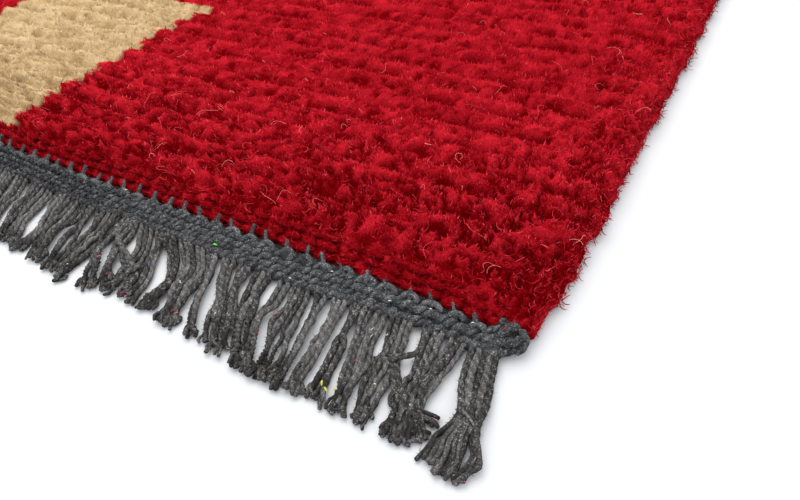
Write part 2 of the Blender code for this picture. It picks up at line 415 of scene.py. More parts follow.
def dip(x, y):
    """1 deep in the furrows between rows, which open and close, and in the pile's pits and clefts. The
    pile is lowered there, and its colour darkened as painted shade.
    """
    _, row, gap = row_place(x, y)
    depth = 0.60 + 0.60 * soft_noise(x / 0.013, np.round(row) * 1.7, 5)
    between = np.exp(-((gap / GROOVE_WIDTH) ** 2)) * np.clip(depth, 0.12, 1.1)
    curl = curliness(x, y)
    pit = smooth_step(0.36, 0.78, soft_noise(x / 0.0046, y / 0.0044, 10) * (0.76 + 0.40 * curl))
    cleft = 1 - smooth_step(0.0003, 0.0021, clumps(x, y)[5])
    cleft = cleft * smooth_step(-0.45, 0.45, soft_noise(x / 0.007, y / 0.006, 12))
    cleft = cleft * smooth_step(0.32, 0.80, curl)
    deep = np.maximum(between * (0.76 - 0.18 * curl), pit * (0.60 + 0.40 * curl))
    return np.clip(np.maximum(deep, 0.95 * cleft), 0, 1)


def pulled_aside(x, y):
    """Each place across, pulled about a little, so that the tufts lose their straight sides."""
    return x + 0.0016 * soft_noise(x / 0.007, y / 0.007, 23)


def from_nearest_end(x, y):
    return np.minimum(y + front_end(x), front_end(-x) - y)


def pile_height(x, y):
    """How high the pile stands: rows, tufts and slow lumps, with a ledge of knots at each end."""
    level, _, to_furrow = row_place(x, y)
    gap, _, _, own, _, _ = tufts(pulled_aside(x, y), level)
    clump_gap, _, _, clump_own, _, _ = clumps(x, y)
    curl = curliness(x, y)
    dome = np.clip(1 - (gap / 0.0040) ** 2, -1.2, 1)
    clump = np.clip(1 - (clump_gap / 0.0030) ** 2, -1.2, 1)
    height = (
        PILE_HEIGHT
        + 0.0010 * soft_noise(x / 0.06, y / 0.06, 2)
        + 0.0006 * soft_noise(x / 0.024, y / 0.024, 3)
        + 0.0009 * curl * soft_noise(x / 0.0075, y / 0.007, 4)
        + 0.0004 * own
        + 0.0011 * (1 - curl) * dome
        + curl * (0.0015 * clump + 0.0008 * clump_own)
        + 0.0026 * smooth_step(0.0, 0.0085, to_furrow) * (1 - 0.4 * curl)
        - GROOVE_DEPTH * dip(x, y) * (0.38 + 0.44 * curl)
    )
    from_end = from_nearest_end(x, y)
    corner = np.hypot(np.abs(x) - PILE_HALF_WIDTH, from_end)
    height = height * (1 - 0.12 * np.exp(-((corner / 0.05) ** 2)))
    outer = 0.011 * smooth_step(0.428, 0.446, np.abs(x))
    rise = smooth_step(0.004, 0.021, from_end + outer + 0.0025 * soft_noise(x / 0.008, 0, 14))
    return LEDGE_HEIGHT + (height - LEDGE_HEIGHT) * rise


# How the pile's body folds down at its sides: the bend's radius, how far it stands out, and its foot
SHOULDER = 0.0090
OVERHANG = 0.0064
FOOT = 0.0012


def pile_surface(across, along):
    """The pile's body as a grid of points that folds down at both sides."""
    half = PILE_HALF_WIDTH + OVERHANG
    flat = half - SHOULDER
    reach = flat + SHOULDER * math.pi / 2
    s, y = np.meshgrid(across, along)
    y = y / HALF_LENGTH * np.where(y < 0, front_end(s), front_end(-s))
    bend = np.clip((np.abs(s) - flat) / SHOULDER, 0, math.pi / 2)
    stretch = (right_side(y * np.sign(s)) - PILE_HALF_WIDTH) * np.abs(s) / reach
    drawn_in = 0.003 * np.exp(-(((HALF_LENGTH - np.abs(y)) / 0.016) ** 2)) * np.sin(bend)
    x = np.sign(s) * (np.minimum(np.abs(s), flat) + SHOULDER * np.sin(bend) + stretch - drawn_in)
    top = pile_height(x, y)
    z = FOOT + (top - FOOT) * np.cos(bend) ** 0.7
    bulge = (
        0.0021 * soft_noise(y / 0.0065, z / 0.005, 31)
        + 0.0017 * soft_noise(y / 0.016, np.sign(s), 32)
        + 0.0014 * soft_noise(y / 0.045, np.sign(s), 33)
    )
    bulge = bulge * np.sin(bend)
    return np.stack([x + np.sign(s) * bulge, y, z], axis=2)


def pile_patches():
    """The pile's body in three grids that overlap: the one in the picture is much the finest."""
    reach = PILE_HALF_WIDTH + OVERHANG - SHOULDER + SHOULDER * math.pi / 2
    seen_x, seen_y = -0.145, -0.295
    overlap = 0.004
    wide = lines_from(reach, -reach, reach, 0.012, 0.0, 0.012)
    left = lines_from(-reach, -reach, seen_x + overlap, 0.012, 0.0, 0.012)
    fine_x = lines_from(reach, seen_x, reach, 0.0015, 0.0072, 0.0100)
    fine_y = lines_from(-HALF_LENGTH, -HALF_LENGTH, seen_y, 0.0015, 0.0053, 0.0064)
    coarse_y = lines_from(-HALF_LENGTH, -HALF_LENGTH, seen_y, 0.0058, 0.0, 0.0058)
    rest_y = lines_from(HALF_LENGTH, seen_y - overlap, HALF_LENGTH, 0.0058, 0.0, 0.0058)
    return {
        "seen": pile_surface(fine_x, fine_y),
        "beside": pile_surface(left, coarse_y),
        "rest": pile_surface(wide, rest_y),
    }


def cell_corners(surface):
    return surface[:-1, :-1], surface[:-1, 1:], surface[1:, 1:], surface[1:, :-1]


def scattered(surface, rng, gap):
    """Points spread over a surface, as many in each cell as its gap between points asks for."""
    a, b, c, d = cell_corners(surface)
    area = 0.5 * np.linalg.norm(np.cross(c - a, d - b), axis=2)
    normals = grid_normals(surface)
    wanted = area / gap**2
    number = np.floor(wanted + rng.random(wanted.shape)).astype(int)
    row, column = np.nonzero(number)
    each = number[row, column]
    row, column = np.repeat(row, each), np.repeat(column, each)
    u = rng.random(len(row))[:, None]
    v = rng.random(len(row))[:, None]

    def mixed(grid):
        near = grid[row, column] * (1 - u) + grid[row, column + 1] * u
        far = grid[row + 1, column] * (1 - u) + grid[row + 1, column + 1] * u
        return near * (1 - v) + far * v

    return mixed(surface), unit(mixed(normals)), gap[row, column]


def fibre_gap(surface, spacing, coarsest):
    """The gap between fibres in each cell: that many pixels in the picture, the coarsest elsewhere."""
    a, b, c, d = cell_corners(surface)
    middle = (a + b + c + d) / 4
    _, _, depth = picture_place(middle)
    shown = in_picture(middle)
    facing = np.abs(np.sum(unit(np.cross(c - a, d - b)) * unit(EYE - middle), axis=2))
    close = spacing * np.maximum(depth, 0.2) / PIXELS / np.sqrt(np.clip(facing, 0.30, 1))
    return np.where(shown > 0, close + (coarsest - close) * (1 - shown) ** 2, coarsest)


# The lowest that a fibre of the pile may start or end
LOWEST_FIBRE = 0.0006


def grow_pile(heaps, surfaces):
    """Stand the fibres on the pile: straight and combed in the middle, tousled at the corners."""
    rng = np.random.default_rng(3)
    parts = [scattered(surface, rng, fibre_gap(surface, 1.66, 0.0062)) for surface in surfaces]
    spot, normal, gap = (np.concatenate(part) for part in zip(*parts))
    x, y, z = spot.T
    level, _, _ = row_place(x, y)
    tuft_gap, middle_x, middle_level, own, other, _ = tufts(pulled_aside(x, y), level)
    from_middle = np.stack([x - middle_x, level - middle_level, np.zeros(len(x))], axis=1)
    _, clump_x, clump_y, clump_own, clump_other, _ = clumps(x, y)
    from_clump = np.stack([x - clump_x, y - clump_y, np.zeros(len(x))], axis=1)
    tousled = curliness(x, y) + 0.22 * soft_noise(x / 0.012, y / 0.012, 26) > 0.55
    from_middle = np.where(tousled[:, None], from_clump, from_middle)
    own = np.where(tousled, clump_own, own)
    other = np.where(tousled, clump_other, other)
    flat = normal[:, 2:3]
    random = rng.normal(size=spot.shape)
    curl = curliness(x, y)[:, None]
    deep = dip(x, y)
    lean = np.stack([
        0.10 * soft_noise(x / 0.03, y / 0.03, 41) + 0.18 * own,
        0.02 + 0.09 * soft_noise(x / 0.03, y / 0.03, 42) + 0.18 * other,
        np.zeros(len(x)),
    ], axis=1)
    rising = np.where(z[:, None] > 0.007, 1.0, -0.2) * UP
    loose = 0.35 * (z[:, None] < 0.009)
    leaning = lean * flat * (1 + 3.0 * curl)
    way = unit(rising + 0.70 * normal + leaning + (0.13 + 0.26 * curl + loose) * random)
    long = 0.0036 * (1 + 0.20 * rng.normal(size=len(x))).clip(0.5, 1.8) * (1 - 0.22 * curl[:, 0])
    long = long * np.where(z < 0.008, 0.7, 1.0) * (1 - 0.55 * deep)
    roots = spot - normal * 0.0010 - UP * 0.0006
    roots[:, 2] = np.maximum(roots[:, 2], LOWEST_FIBRE)
    tips = roots + way * long[:, None]
    tips = tips - from_middle * 0.30 * np.clip(flat, 0, 1)
    tips[:, 2] = np.maximum(tips[:, 2], LOWEST_FIBRE)
    out = from_middle / 0.0025
    out = out / np.maximum(np.linalg.norm(out, axis=1, keepdims=True), 1)
    shade = (0.45 + 0.35 * curl) * normal + (0.28 + 0.52 * curl) * out
    shade = shade + (0.04 + 0.22 * curl + loose) * random
    shade = unit(shade + (0.95 - 0.57 * curl) * UP)
    from_end = from_nearest_end(x, y)
    first = 0.0075 - 0.0040 * smooth_step(0.33, 0.41, np.abs(x)) + 0.0025 * rng.normal(size=len(x))
    kept = from_end > np.where(np.abs(x) > 0.438, 0.0012, first)
    thick = np.minimum(np.clip(0.40 * gap, 0.00020, 0.0026), roots[:, 2])
    curl = curl[:, 0]
    tone = np.clip((0.16 + 0.14 * curl) * own + (0.12 + 0.46 * curl) * rng.normal(size=len(x)), -1, 1)
    # Painted shade: a fibre is darker in the furrows, pits and clefts, away from its tuft's middle, and
    # by openness
    apart = smooth_step(0.0018, 0.0036, tuft_gap) * (1 - curl)
    bright = (1 - (0.22 + 0.66 * curl) * deep) * (1 - 0.21 * apart) * openness(curl)
    block = in_tan_block(middle_x, y)
    across, _, _ = picture_place(spot)
    share = np.searchsorted(np.quantile(across, np.linspace(0, 1, len(heaps) + 1)[1:-1]), across)
    # Painted shade at the roots: none in the smooth middle, growing to much at the tousled corners,
    # whose tips are also painted lighter
    for number, heap in enumerate(heaps):
        mine = kept & (share == number)
        spikes(
            heap, roots[mine], tips[mine], thick[mine], shade[mine], rng,
            tone=tone[mine], block=block[mine], bright=(bright * (0.66 + 0.40 * curl))[mine],
            root=(bright * (0.98 - 0.68 * curl))[mine],
        )


def grow_locks(surface):
    """Curled strands of wool that lie tangled on the tousled part of the pile in the picture."""
    heap = Heap()
    rng = np.random.default_rng(7)
    a, b, c, d = cell_corners(surface)
    middle = (a + b + c + d) / 4
    curl = curliness(middle[..., 0], middle[..., 1], side=0.85)
    gap = 0.0042 / np.clip(smooth_step(0.40, 0.90, curl), 0.04, 1) ** 0.5
    gap = np.where(middle[..., 0] > PILE_HALF_WIDTH - 0.002, 0.52 * gap, gap)
    gap = np.where(in_picture(middle) > 0.5, gap, 1.0)
    spot, normal, _ = scattered(surface, rng, gap)
    from_end = spot[:, 1] + front_end(spot[:, 0])
    kept = from_end > np.where(spot[:, 0] > 0.438, 0.002, 0.010)
    kept = kept & (curliness(spot[:, 0], spot[:, 1], side=0.85) > 0.42)
    spot, normal = spot[kept], normal[kept]
    count = len(spot)
    deep = dip(spot[:, 0], spot[:, 1])
    heading = unit(np.cross(normal, unit(rng.normal(size=spot.shape))))
    aside = np.cross(normal, heading)
    rise = unit(normal * rng.uniform(0.15, 0.8, (count, 1)) + aside * rng.normal(size=(count, 1)))
    size = rng.uniform(0.0014, 0.0034, count)
    angle = np.linspace(0, 1, 5)[None, :] * rng.uniform(0.8, 2.3, (count, 1))
    start = spot + normal * 0.0008
    paths = (
        start[:, None, :]
        + (size[:, None] * np.sin(angle))[..., None] * heading[:, None, :]
        + (size[:, None] * (1 - np.cos(angle)))[..., None] * rise[:, None, :]
    )
    paths[..., 2] = np.maximum(paths[..., 2], 0.0008)
    thick = rng.uniform(0.00013, 0.00031, (count, 1)) * np.array((0.6, 1, 1, 0.8, 0.35))
    tone = rng.uniform(-0.9, 0.9, count)
    # Painted shade: locks in the furrows, pits and clefts are darker; the rest of their brightness is
    # random
    tip = rng.uniform(0.10, 0.65, count) * (1 - 0.7 * deep)
    tubes(heap, paths, thick, 3, tone=tone, tip=tip, block=in_tan_block(spot[:, 0], spot[:, 1]))
    return heap.piece("pile_locks", pile_wool("lock wool"))


class Shade:
    """A shader value that can be used in plain sums: each operator adds its Math node."""

    def __init__(self, paint, socket):
        self.paint = paint
        self.socket = socket

    def _math(self, operation, a, b=0.0):
        made = self.paint.node("ShaderNodeMath", {"operation": operation}, {0: a, 1: b})
        return Shade(self.paint, made.outputs[0])

    def __add__(self, other):
        return self._math("ADD", self, other)

    __radd__ = __add__

    def __sub__(self, other):
        return self._math("SUBTRACT", self, other)

    def __rsub__(self, other):
        return self._math("SUBTRACT", other, self)

    def __mul__(self, other):
        return self._math("MULTIPLY", self, other)

    __rmul__ = __mul__

    def above(self, low, high):
        """0 below low, 1 above high, and a smooth step between."""
        made = self.paint.node(
            "ShaderNodeMapRange",
            {"interpolation_type": "SMOOTHSTEP"},
            {"Value": self, "From Min": low, "From Max": high},
        )
        return Shade(self.paint, made.outputs[0])


class Paint:
    """A material made of nodes."""

    def __init__(self, name):
        self.material = bpy.data.materials.new(name)
        self.material.use_nodes = True
        self.tree = self.material.node_tree
        self.surface = self.tree.nodes["Principled BSDF"]
        self.place = self.node("ShaderNodeTexCoord", {}, {}).outputs["Object"]

    def node(self, kind, settings, values):
        made = self.tree.nodes.new(kind)
        for key, value in settings.items():
            if key == "stops":
                stops = made.color_ramp.elements
                for number, (at, color) in enumerate(value):
                    stop = stops[number] if number < len(stops) else stops.new(at)
                    stop.position = at
                    stop.color = (*color, 1)
            else:
                setattr(made, key, value)
        for key, value in values.items():
            self.feed(made.inputs[key], value)
        return made

    def feed(self, socket, value):
        value = value.socket if isinstance(value, Shade) else value
        if isinstance(value, bpy.types.NodeSocket):
            self.tree.links.new(value, socket)
        elif isinstance(value, tuple) and len(value) == 3 and socket.type == "RGBA":
            socket.default_value = (*value, 1)
        else:
            socket.default_value = value

    def number(self, name):
        made = self.node("ShaderNodeAttribute", {"attribute_name": name}, {})
        return Shade(self, made.outputs["Fac"])

    def noise(self, stretch, detail=2.0, rough=0.55):
        """Noise in the rug's own place, with that many changes to the metre along each axis."""
        scaled = self.node(
            "ShaderNodeVectorMath", {"operation": "MULTIPLY"}, {0: self.place, 1: stretch}
        )
        made = self.node(
            "ShaderNodeTexNoise",
            {},
            {"Vector": scaled.outputs[0], "Scale": 1.0, "Detail": detail, "Roughness": rough},
        )
        return Shade(self, made.outputs["Fac"])

    def mix(self, share, a, b):
        made = self.node("ShaderNodeMix", {"data_type": "RGBA"}, {0: share, 6: a, 7: b})
        return made.outputs[2]

    def bump(self, height, strength, distance):
        values = {"Height": height, "Strength": strength, "Distance": distance}
        return self.node("ShaderNodeBump", {}, values).outputs[0]

    def finish(self, color, rough=0.9, bump=None):
        self.feed(self.surface.inputs["Base Color"], color)
        self.surface.inputs["Roughness"].default_value = rough
        self.surface.inputs["Specular IOR Level"].default_value = 0.0
        if bump is not None:
            self.feed(self.surface.inputs["Normal"], bump)
        return self.material


# The wool's colours: a dark red for painted shade deep in the pile, which also darkens some fibres at
# random; its own red; and a paler red, a painted sheen that comes most at the tips. The same for tan.
RED_DEEP = (0.108, 0.0003, 0.0012)
RED = (0.525, 0.0125, 0.0235)
RED_LIGHT = (0.660, 0.100, 0.120)
TAN_DEEP = (0.300, 0.190, 0.090)
TAN = (0.570, 0.420, 0.235)
TAN_LIGHT = (0.620, 0.510, 0.330)


def pile_wool(name):
    """Cut wool: painted shade in the dips, between the tufts and at tousled roots, a paler painted sheen
    most at the tips, and each tuft a little its own.
    """
    paint = Paint(name)
    tip = paint.number("tip")
    tone = paint.number("tone")
    block = paint.number("block")
    speckle = paint.noise((900, 900, 300), 2.0)
    lift = (tip * 0.80 + tone * 0.22 + speckle * 0.5 - 0.10).above(0.0, 1.1)
    light = (tone * 0.42 + speckle * 0.7 + tip * 0.35 - 0.57).above(0.0, 0.9)
    red = paint.mix(light, paint.mix(lift, RED_DEEP, RED), RED_LIGHT)
    tan = paint.mix(light, paint.mix(lift, TAN_DEEP, TAN), TAN_LIGHT)
    return paint.finish(paint.mix(block, red, tan), rough=1.0)


def body_wool(name):
    """The wool between and under the fibres that stand on the pile, with painted shade where its tip
    number is low.
    """
    paint = Paint(name)
    tone = paint.number("tone")
    block = paint.number("block")
    tip = paint.number("tip")
    strands = paint.noise((1400, 1400, 260), 3.0, 0.6)
    lift = (strands * 0.9 + tone * 0.2 + tip * 0.6 - 0.62).above(0.0, 1.0)
    red = paint.mix(lift, RED_DEEP, RED)
    tan = paint.mix(lift, TAN_DEEP, TAN)
    bump = paint.bump(strands, 0.9, 0.0012)
    return paint.finish(paint.mix(block, red, tan), rough=1.0, bump=bump)


def knot_yarn(name, deep, mid):
    """Smooth yarn whose fibres run across the rug."""
    paint = Paint(name)
    lines = paint.noise((160, 1700, 1700), 2.5, 0.6)
    patches = paint.noise((90, 90, 90), 1.0)
    lift = (lines * 0.9 + patches * 0.5 - 0.2).above(0.05, 0.95)
    bump = paint.bump(lines, 0.8, 0.0008)
    return paint.finish(paint.mix(lift, deep, mid), rough=1.0, bump=bump)


# The grey yarn's colours: dark fibres, which also take its painted shade, then mid and pale fibres
GREY_DEEP = (0.0200, 0.0188, 0.0184)
GREY = (0.134, 0.131, 0.128)
GREY_LIGHT = (0.400, 0.395, 0.385)


def grey_yarn(name, tint):
    """Recycled grey yarn: short fibres of many greys, darker at the frayed ends, and with painted shade
    where the tip number is low: in the ply grooves, under the band and at the roots of hairs.
    """
    paint = Paint(name)
    tone = paint.number("tone")
    tip = paint.number("tip")
    fibres = paint.noise((1300, 1300, 1300), 3.0, 0.65)
    patches = paint.noise((160, 160, 160), 2.0)
    lift = (fibres * 1.1 + tone * 0.18 + patches * 0.4 + tip * 0.3 - 0.66).above(0.0, 0.85)
    light = (fibres * 1.3 + patches * 0.3 + tip * 0.1 - 0.92).above(0.0, 0.35)
    greys = (GREY_DEEP, GREY, GREY_LIGHT)
    deep, mid, pale = (tuple(a * b for a, b in zip(grey, tint)) for grey in greys)
    color = paint.mix(light * 0.75, paint.mix(lift, deep, mid), pale)
    bump = paint.bump(fibres, 0.8, 0.0008)
    return paint.finish(color, rough=1.0, bump=bump)


def add_pile():
    patches = pile_patches()
    wool = body_wool("pile ground wool")
    pieces = []
    for name, surface in patches.items():
        heap = Heap()
        x, y, _ = surface.reshape(-1, 3).T
        _, middle_x, _, own, _, _ = tufts(x, level_of(x, y))
        curl = curliness(x, y)
        # Painted shade on the pile's ground: darker in the furrows, pits and clefts, and by openness,
        # most at the tousled corners
        light = openness(curl) * (1.5 - 0.5 * curl)
        heap.add(
            surface, grid_faces(*surface.shape[:2]), None,
            tone=own, tip=(1 - dip(x, y)) * light, block=in_tan_block(middle_x, y),
        )
        pieces.append(heap.piece("pile_ground_" + name, wool))
    tufted = pile_wool("pile tuft wool")
    heaps = [Heap() for _ in range(4)]
    grow_pile(heaps, patches.values())
    pieces += [heap.piece(f"pile_tufts_{number + 1}", tufted) for number, heap in enumerate(heaps)]
    pieces.append(grow_locks(patches["seen"]))
    for item in pieces:
        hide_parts("pile")
    return pieces


def half_turned(points):
    return points * np.array((-1.0, -1.0, 1.0))


# How far out the knots reach to each side
KNOTS_REACH = 0.440


def add_knots(turn):
    """Columns of bare knots between the warps, three on top of each other, with their loose hairs."""
    heap = Heap()
    rng = np.random.default_rng(51)
    sizes = (0.0027, 0.0023, 0.0020)
    cords = []
    thick = []
    shape = np.sqrt(np.clip(1 - (np.linspace(-1, 1, 7) * 0.95) ** 2, 0.03, 1))
    for column in range(WARP_COUNT):
        x = RUG_WIDTH * ((column + 0.5) / WARP_COUNT - 0.5)
        side = 0.0008 * rng.uniform(-1, 1)
        for step, size in enumerate(sizes):
            reach = WARP_PITCH * (0.40 + 0.05 * rng.uniform(-1, 1))
            y = -front_end(x) - 0.0002 + 0.0050 * step + 0.0007 * rng.uniform(-1, 1)
            z = 0.0054 + 0.0016 * step + 0.0005 * rng.uniform(-1, 1)
            share = np.linspace(-1, 1, 7)
            tilt = 0.0008 * rng.normal()
            cords.append(np.stack([
                x + side + reach * share,
                y + 0.0009 * share**2 + tilt * share,
                z - 0.0014 * share**2 + 0.0004 * rng.normal() * share,
            ], axis=1))
            thick.append(size * (1 + 0.14 * rng.normal()) * shape)
    cords = np.array(cords)
    thick = np.array(thick)
    within = np.abs(cords[:, 3, 0]) < KNOTS_REACH
    cords, thick = cords[within], thick[within]
    if turn:
        cords = half_turned(cords)
    tone = rng.uniform(-1, 1, len(cords))
    seen = (cords[:, 3, 0] > 0.04) & (cords[:, 3, 1] < 0)
    tubes(heap, cords[~seen][:, ::2], thick[~seen][:, ::2], 6, tone=tone[~seen])
    if seen.any():
        tubes(heap, cords[seen], thick[seen], 8, tone=tone[seen])
    name = "knots_back" if turn else "knots_front"
    yarn = knot_yarn(name + " yarn", (0.075, 0.0003, 0.0010), (0.235, 0.0036, 0.0066))
    pieces = [heap.piece(name, yarn)]
    if not turn:
        cords, thick = cords[seen], thick[seen]
        each = 66
        knot = np.repeat(np.arange(len(cords)), each)
        place = rng.uniform(0.2, 5.6, len(knot))
        low = place.astype(int)
        share = (place - low)[:, None]
        spot = cords[knot, low] * (1 - share) + cords[knot, low + 1] * share
        turned = rng.uniform(0.0, math.pi, len(knot))
        out = np.stack([np.zeros(len(knot)), -np.cos(turned), np.sin(turned)], axis=1)
        wide = thick[knot, low] * (1 - share[:, 0]) + thick[knot, low + 1] * share[:, 0]
        roots = spot + out * (wide * 0.92)[:, None]
        way = unit(out * 0.65 + rng.normal(size=out.shape) * (1.3, 0.55, 0.55))
        tips = roots + way * rng.uniform(0.0014, 0.0036, (len(knot), 1))
        hair = Heap()
        spikes(
            hair, roots, tips, rng.uniform(0.00022, 0.00044, len(knot)), unit(out + 0.3 * way), rng,
            tone=rng.uniform(-1, 0.8, len(knot)), bright=rng.uniform(0.2, 0.75, len(knot)),
        )
        pieces.append(hair.piece("knots_front_hair", pile_wool("knot hair wool")))
    for item in pieces:
        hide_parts("pile")
    return pieces


# The twined band's rows and strands, and how far across its finer yarn starts to show
BAND_ROWS = 4
BAND_START = 0.0080
BAND_SPACING = 0.0036
TWINE_SWING = 0.0011
TWINE_THICKNESS = 0.00190
TWINE_PITCH = 0.0122
VISIBLE_FROM = 0.055


def add_band(turn, yarn):
    """The twined band: rows of two strands that cross once for each warp."""
    heap = Heap()
    if turn:
        x = lines_from(0.44, -0.442, 0.44, 0.0050, 0.0, 0.0050)
    else:
        x = lines_from(0.438, -0.442, 0.438, 0.0008, 0.0048, 0.0042)
    narrow = smooth_step(0.33, 0.42, np.abs(x))
    hair_paths = []
    for number in range(BAND_ROWS):
        lift = 0.0060 - 0.0010 * number - 0.0026 * narrow * (number % 2 == 0)
        drift = 0.0006 * soft_noise(x / 0.02, number, 62) + 0.0011 * soft_noise(x / 0.055, 0.0, 61)
        out = BAND_START + 0.0006 * narrow + BAND_SPACING * number * (1 - 0.40 * narrow) + drift
        turned = math.tau * x / TWINE_PITCH + 1.3 * soft_noise(x / 0.025, number, 63) + 2.4 * number
        for strand in (0, 1):
            angle = turned + math.pi * strand
            path = np.stack([
                x,
                -(front_end(x) + out + TWINE_SWING * np.cos(angle)),
                lift + TWINE_SWING * np.sin(angle),
            ], axis=1)[None]
            if turn:
                path = half_turned(path)
            radius = TWINE_THICKNESS * (1 + 0.16 * soft_noise(x / 0.005, 7 * number + strand, 64))
            path[..., 2] = np.maximum(path[..., 2], 1.1 * radius)
            tone = 0.7 * soft_noise(strand + 0.5, number + 0.3, 65)
            # Painted shade: each strand is lighter where it lies on top and darker where it twists down
            # under the other
            above = (0.45 + 0.75 * np.sin(angle))[None]
            tubes(heap, path, radius, 5 if turn else 8, ply=0.08, pitch=0.0090, tone=tone, tip=above)
            hair_paths.append(path[0])
    # Three cords lie under the band's rows, painted dark by their tone and tip as the shade beneath it
    under = np.linspace(-0.440, 0.435, 40)
    for out in (0.0040, 0.0085, 0.0130):
        path = np.stack([under, -(front_end(under) + out), np.full(len(under), 0.0028)], axis=1)[None]
        tubes(heap, half_turned(path) if turn else path, 0.0025, 6, tone=-1.0, tip=0.3)
    pieces = [heap.piece("band_back" if turn else "band_front", yarn)]
    if not turn:
        hair = Heap()
        paths = np.array(hair_paths)[:, x > VISIBLE_FROM]
        fuzz(hair, paths, TWINE_THICKNESS, 1700, 0.0022, np.random.default_rng(66))
        pieces.append(hair.piece("band_front_hair", yarn))
    return pieces


def add_pegs(turn, yarn):
    """The warps that rise from the band between the first knots, and the loops at their feet."""
    heap = Heap()
    rng = np.random.default_rng(71)
    x = RUG_WIDTH * (np.arange(1, WARP_COUNT) / WARP_COUNT - 0.5)
    x = x + 0.0006 * rng.normal(size=WARP_COUNT - 1)
    x = x[np.abs(x) < 0.437]
    count = len(x)
    share = np.linspace(0, 1, 6)[None, :]
    by_corner = smooth_step(0.30, 0.39, x)[:, None]
    lean = -0.0022 + 0.0017 * rng.normal(size=(count, 1))
    reach = 0.0074 + 0.0013 * rng.normal(size=(count, 1)) - 0.0032 * by_corner
    path = np.stack([
        x[:, None] + lean * share,
        -front_end(x)[:, None] - 0.0080 + reach * share,
        0.0058 + (0.0050 * share - 0.0008 * share**2) * np.ones((count, 1)),
    ], axis=2)
    thick = 0.00138 * (1 - 0.26 * by_corner) * (1 + 0.16 * rng.normal(size=(count, 1)))
    thick = thick * (1 - 0.34 * share**1.5)
    loop = np.linspace(0, 1, 9)[None, :]
    wide = 0.0038 + 0.0006 * rng.normal(size=(count, 1))
    tall = 0.0026 - 0.0012 * smooth_step(0.34, 0.42, x)[:, None] + 0.0007 * rng.normal(size=(count, 1))
    loops = np.stack([
        x[:, None] + wide * np.cos(math.pi * (1 - loop)),
        -front_end(x)[:, None] - 0.0078 + tall * np.sin(math.pi * loop),
        0.0062 + 0.0014 * np.sin(math.pi * loop) * np.ones((count, 1)),
    ], axis=2)
    seen = (x > VISIBLE_FROM) & (not turn)
    tone = rng.uniform(-0.2, 0.9, count)
    rest = half_turned(path[~seen][:, ::2]) if turn else path[~seen][:, ::2]
    tubes(heap, rest, thick[~seen][:, ::2], 5, tone=tone[~seen])
    if seen.any():
        tubes(heap, path[seen], thick[seen], 8, tone=tone[seen], tip=0.55)
        tubes(heap, loops[seen], 0.00150, 8, tone=rng.uniform(-0.6, 0.5, seen.sum()))
    pieces = [heap.piece("warp_ends_back" if turn else "warp_ends_front", yarn)]
    if not turn:
        hair = Heap()
        fuzz(hair, path[seen], 0.0012, 2600, 0.0018, np.random.default_rng(72))
        fuzz(hair, loops[seen], 0.0014, 2000, 0.0018, np.random.default_rng(73))
        pieces.append(hair.piece("warp_ends_hair", yarn))
    return pieces


# How deep below the pile's end each row of the next table's places lies, in metres
FRINGE_LEVELS = (0.0200, 0.0335, 0.0480)

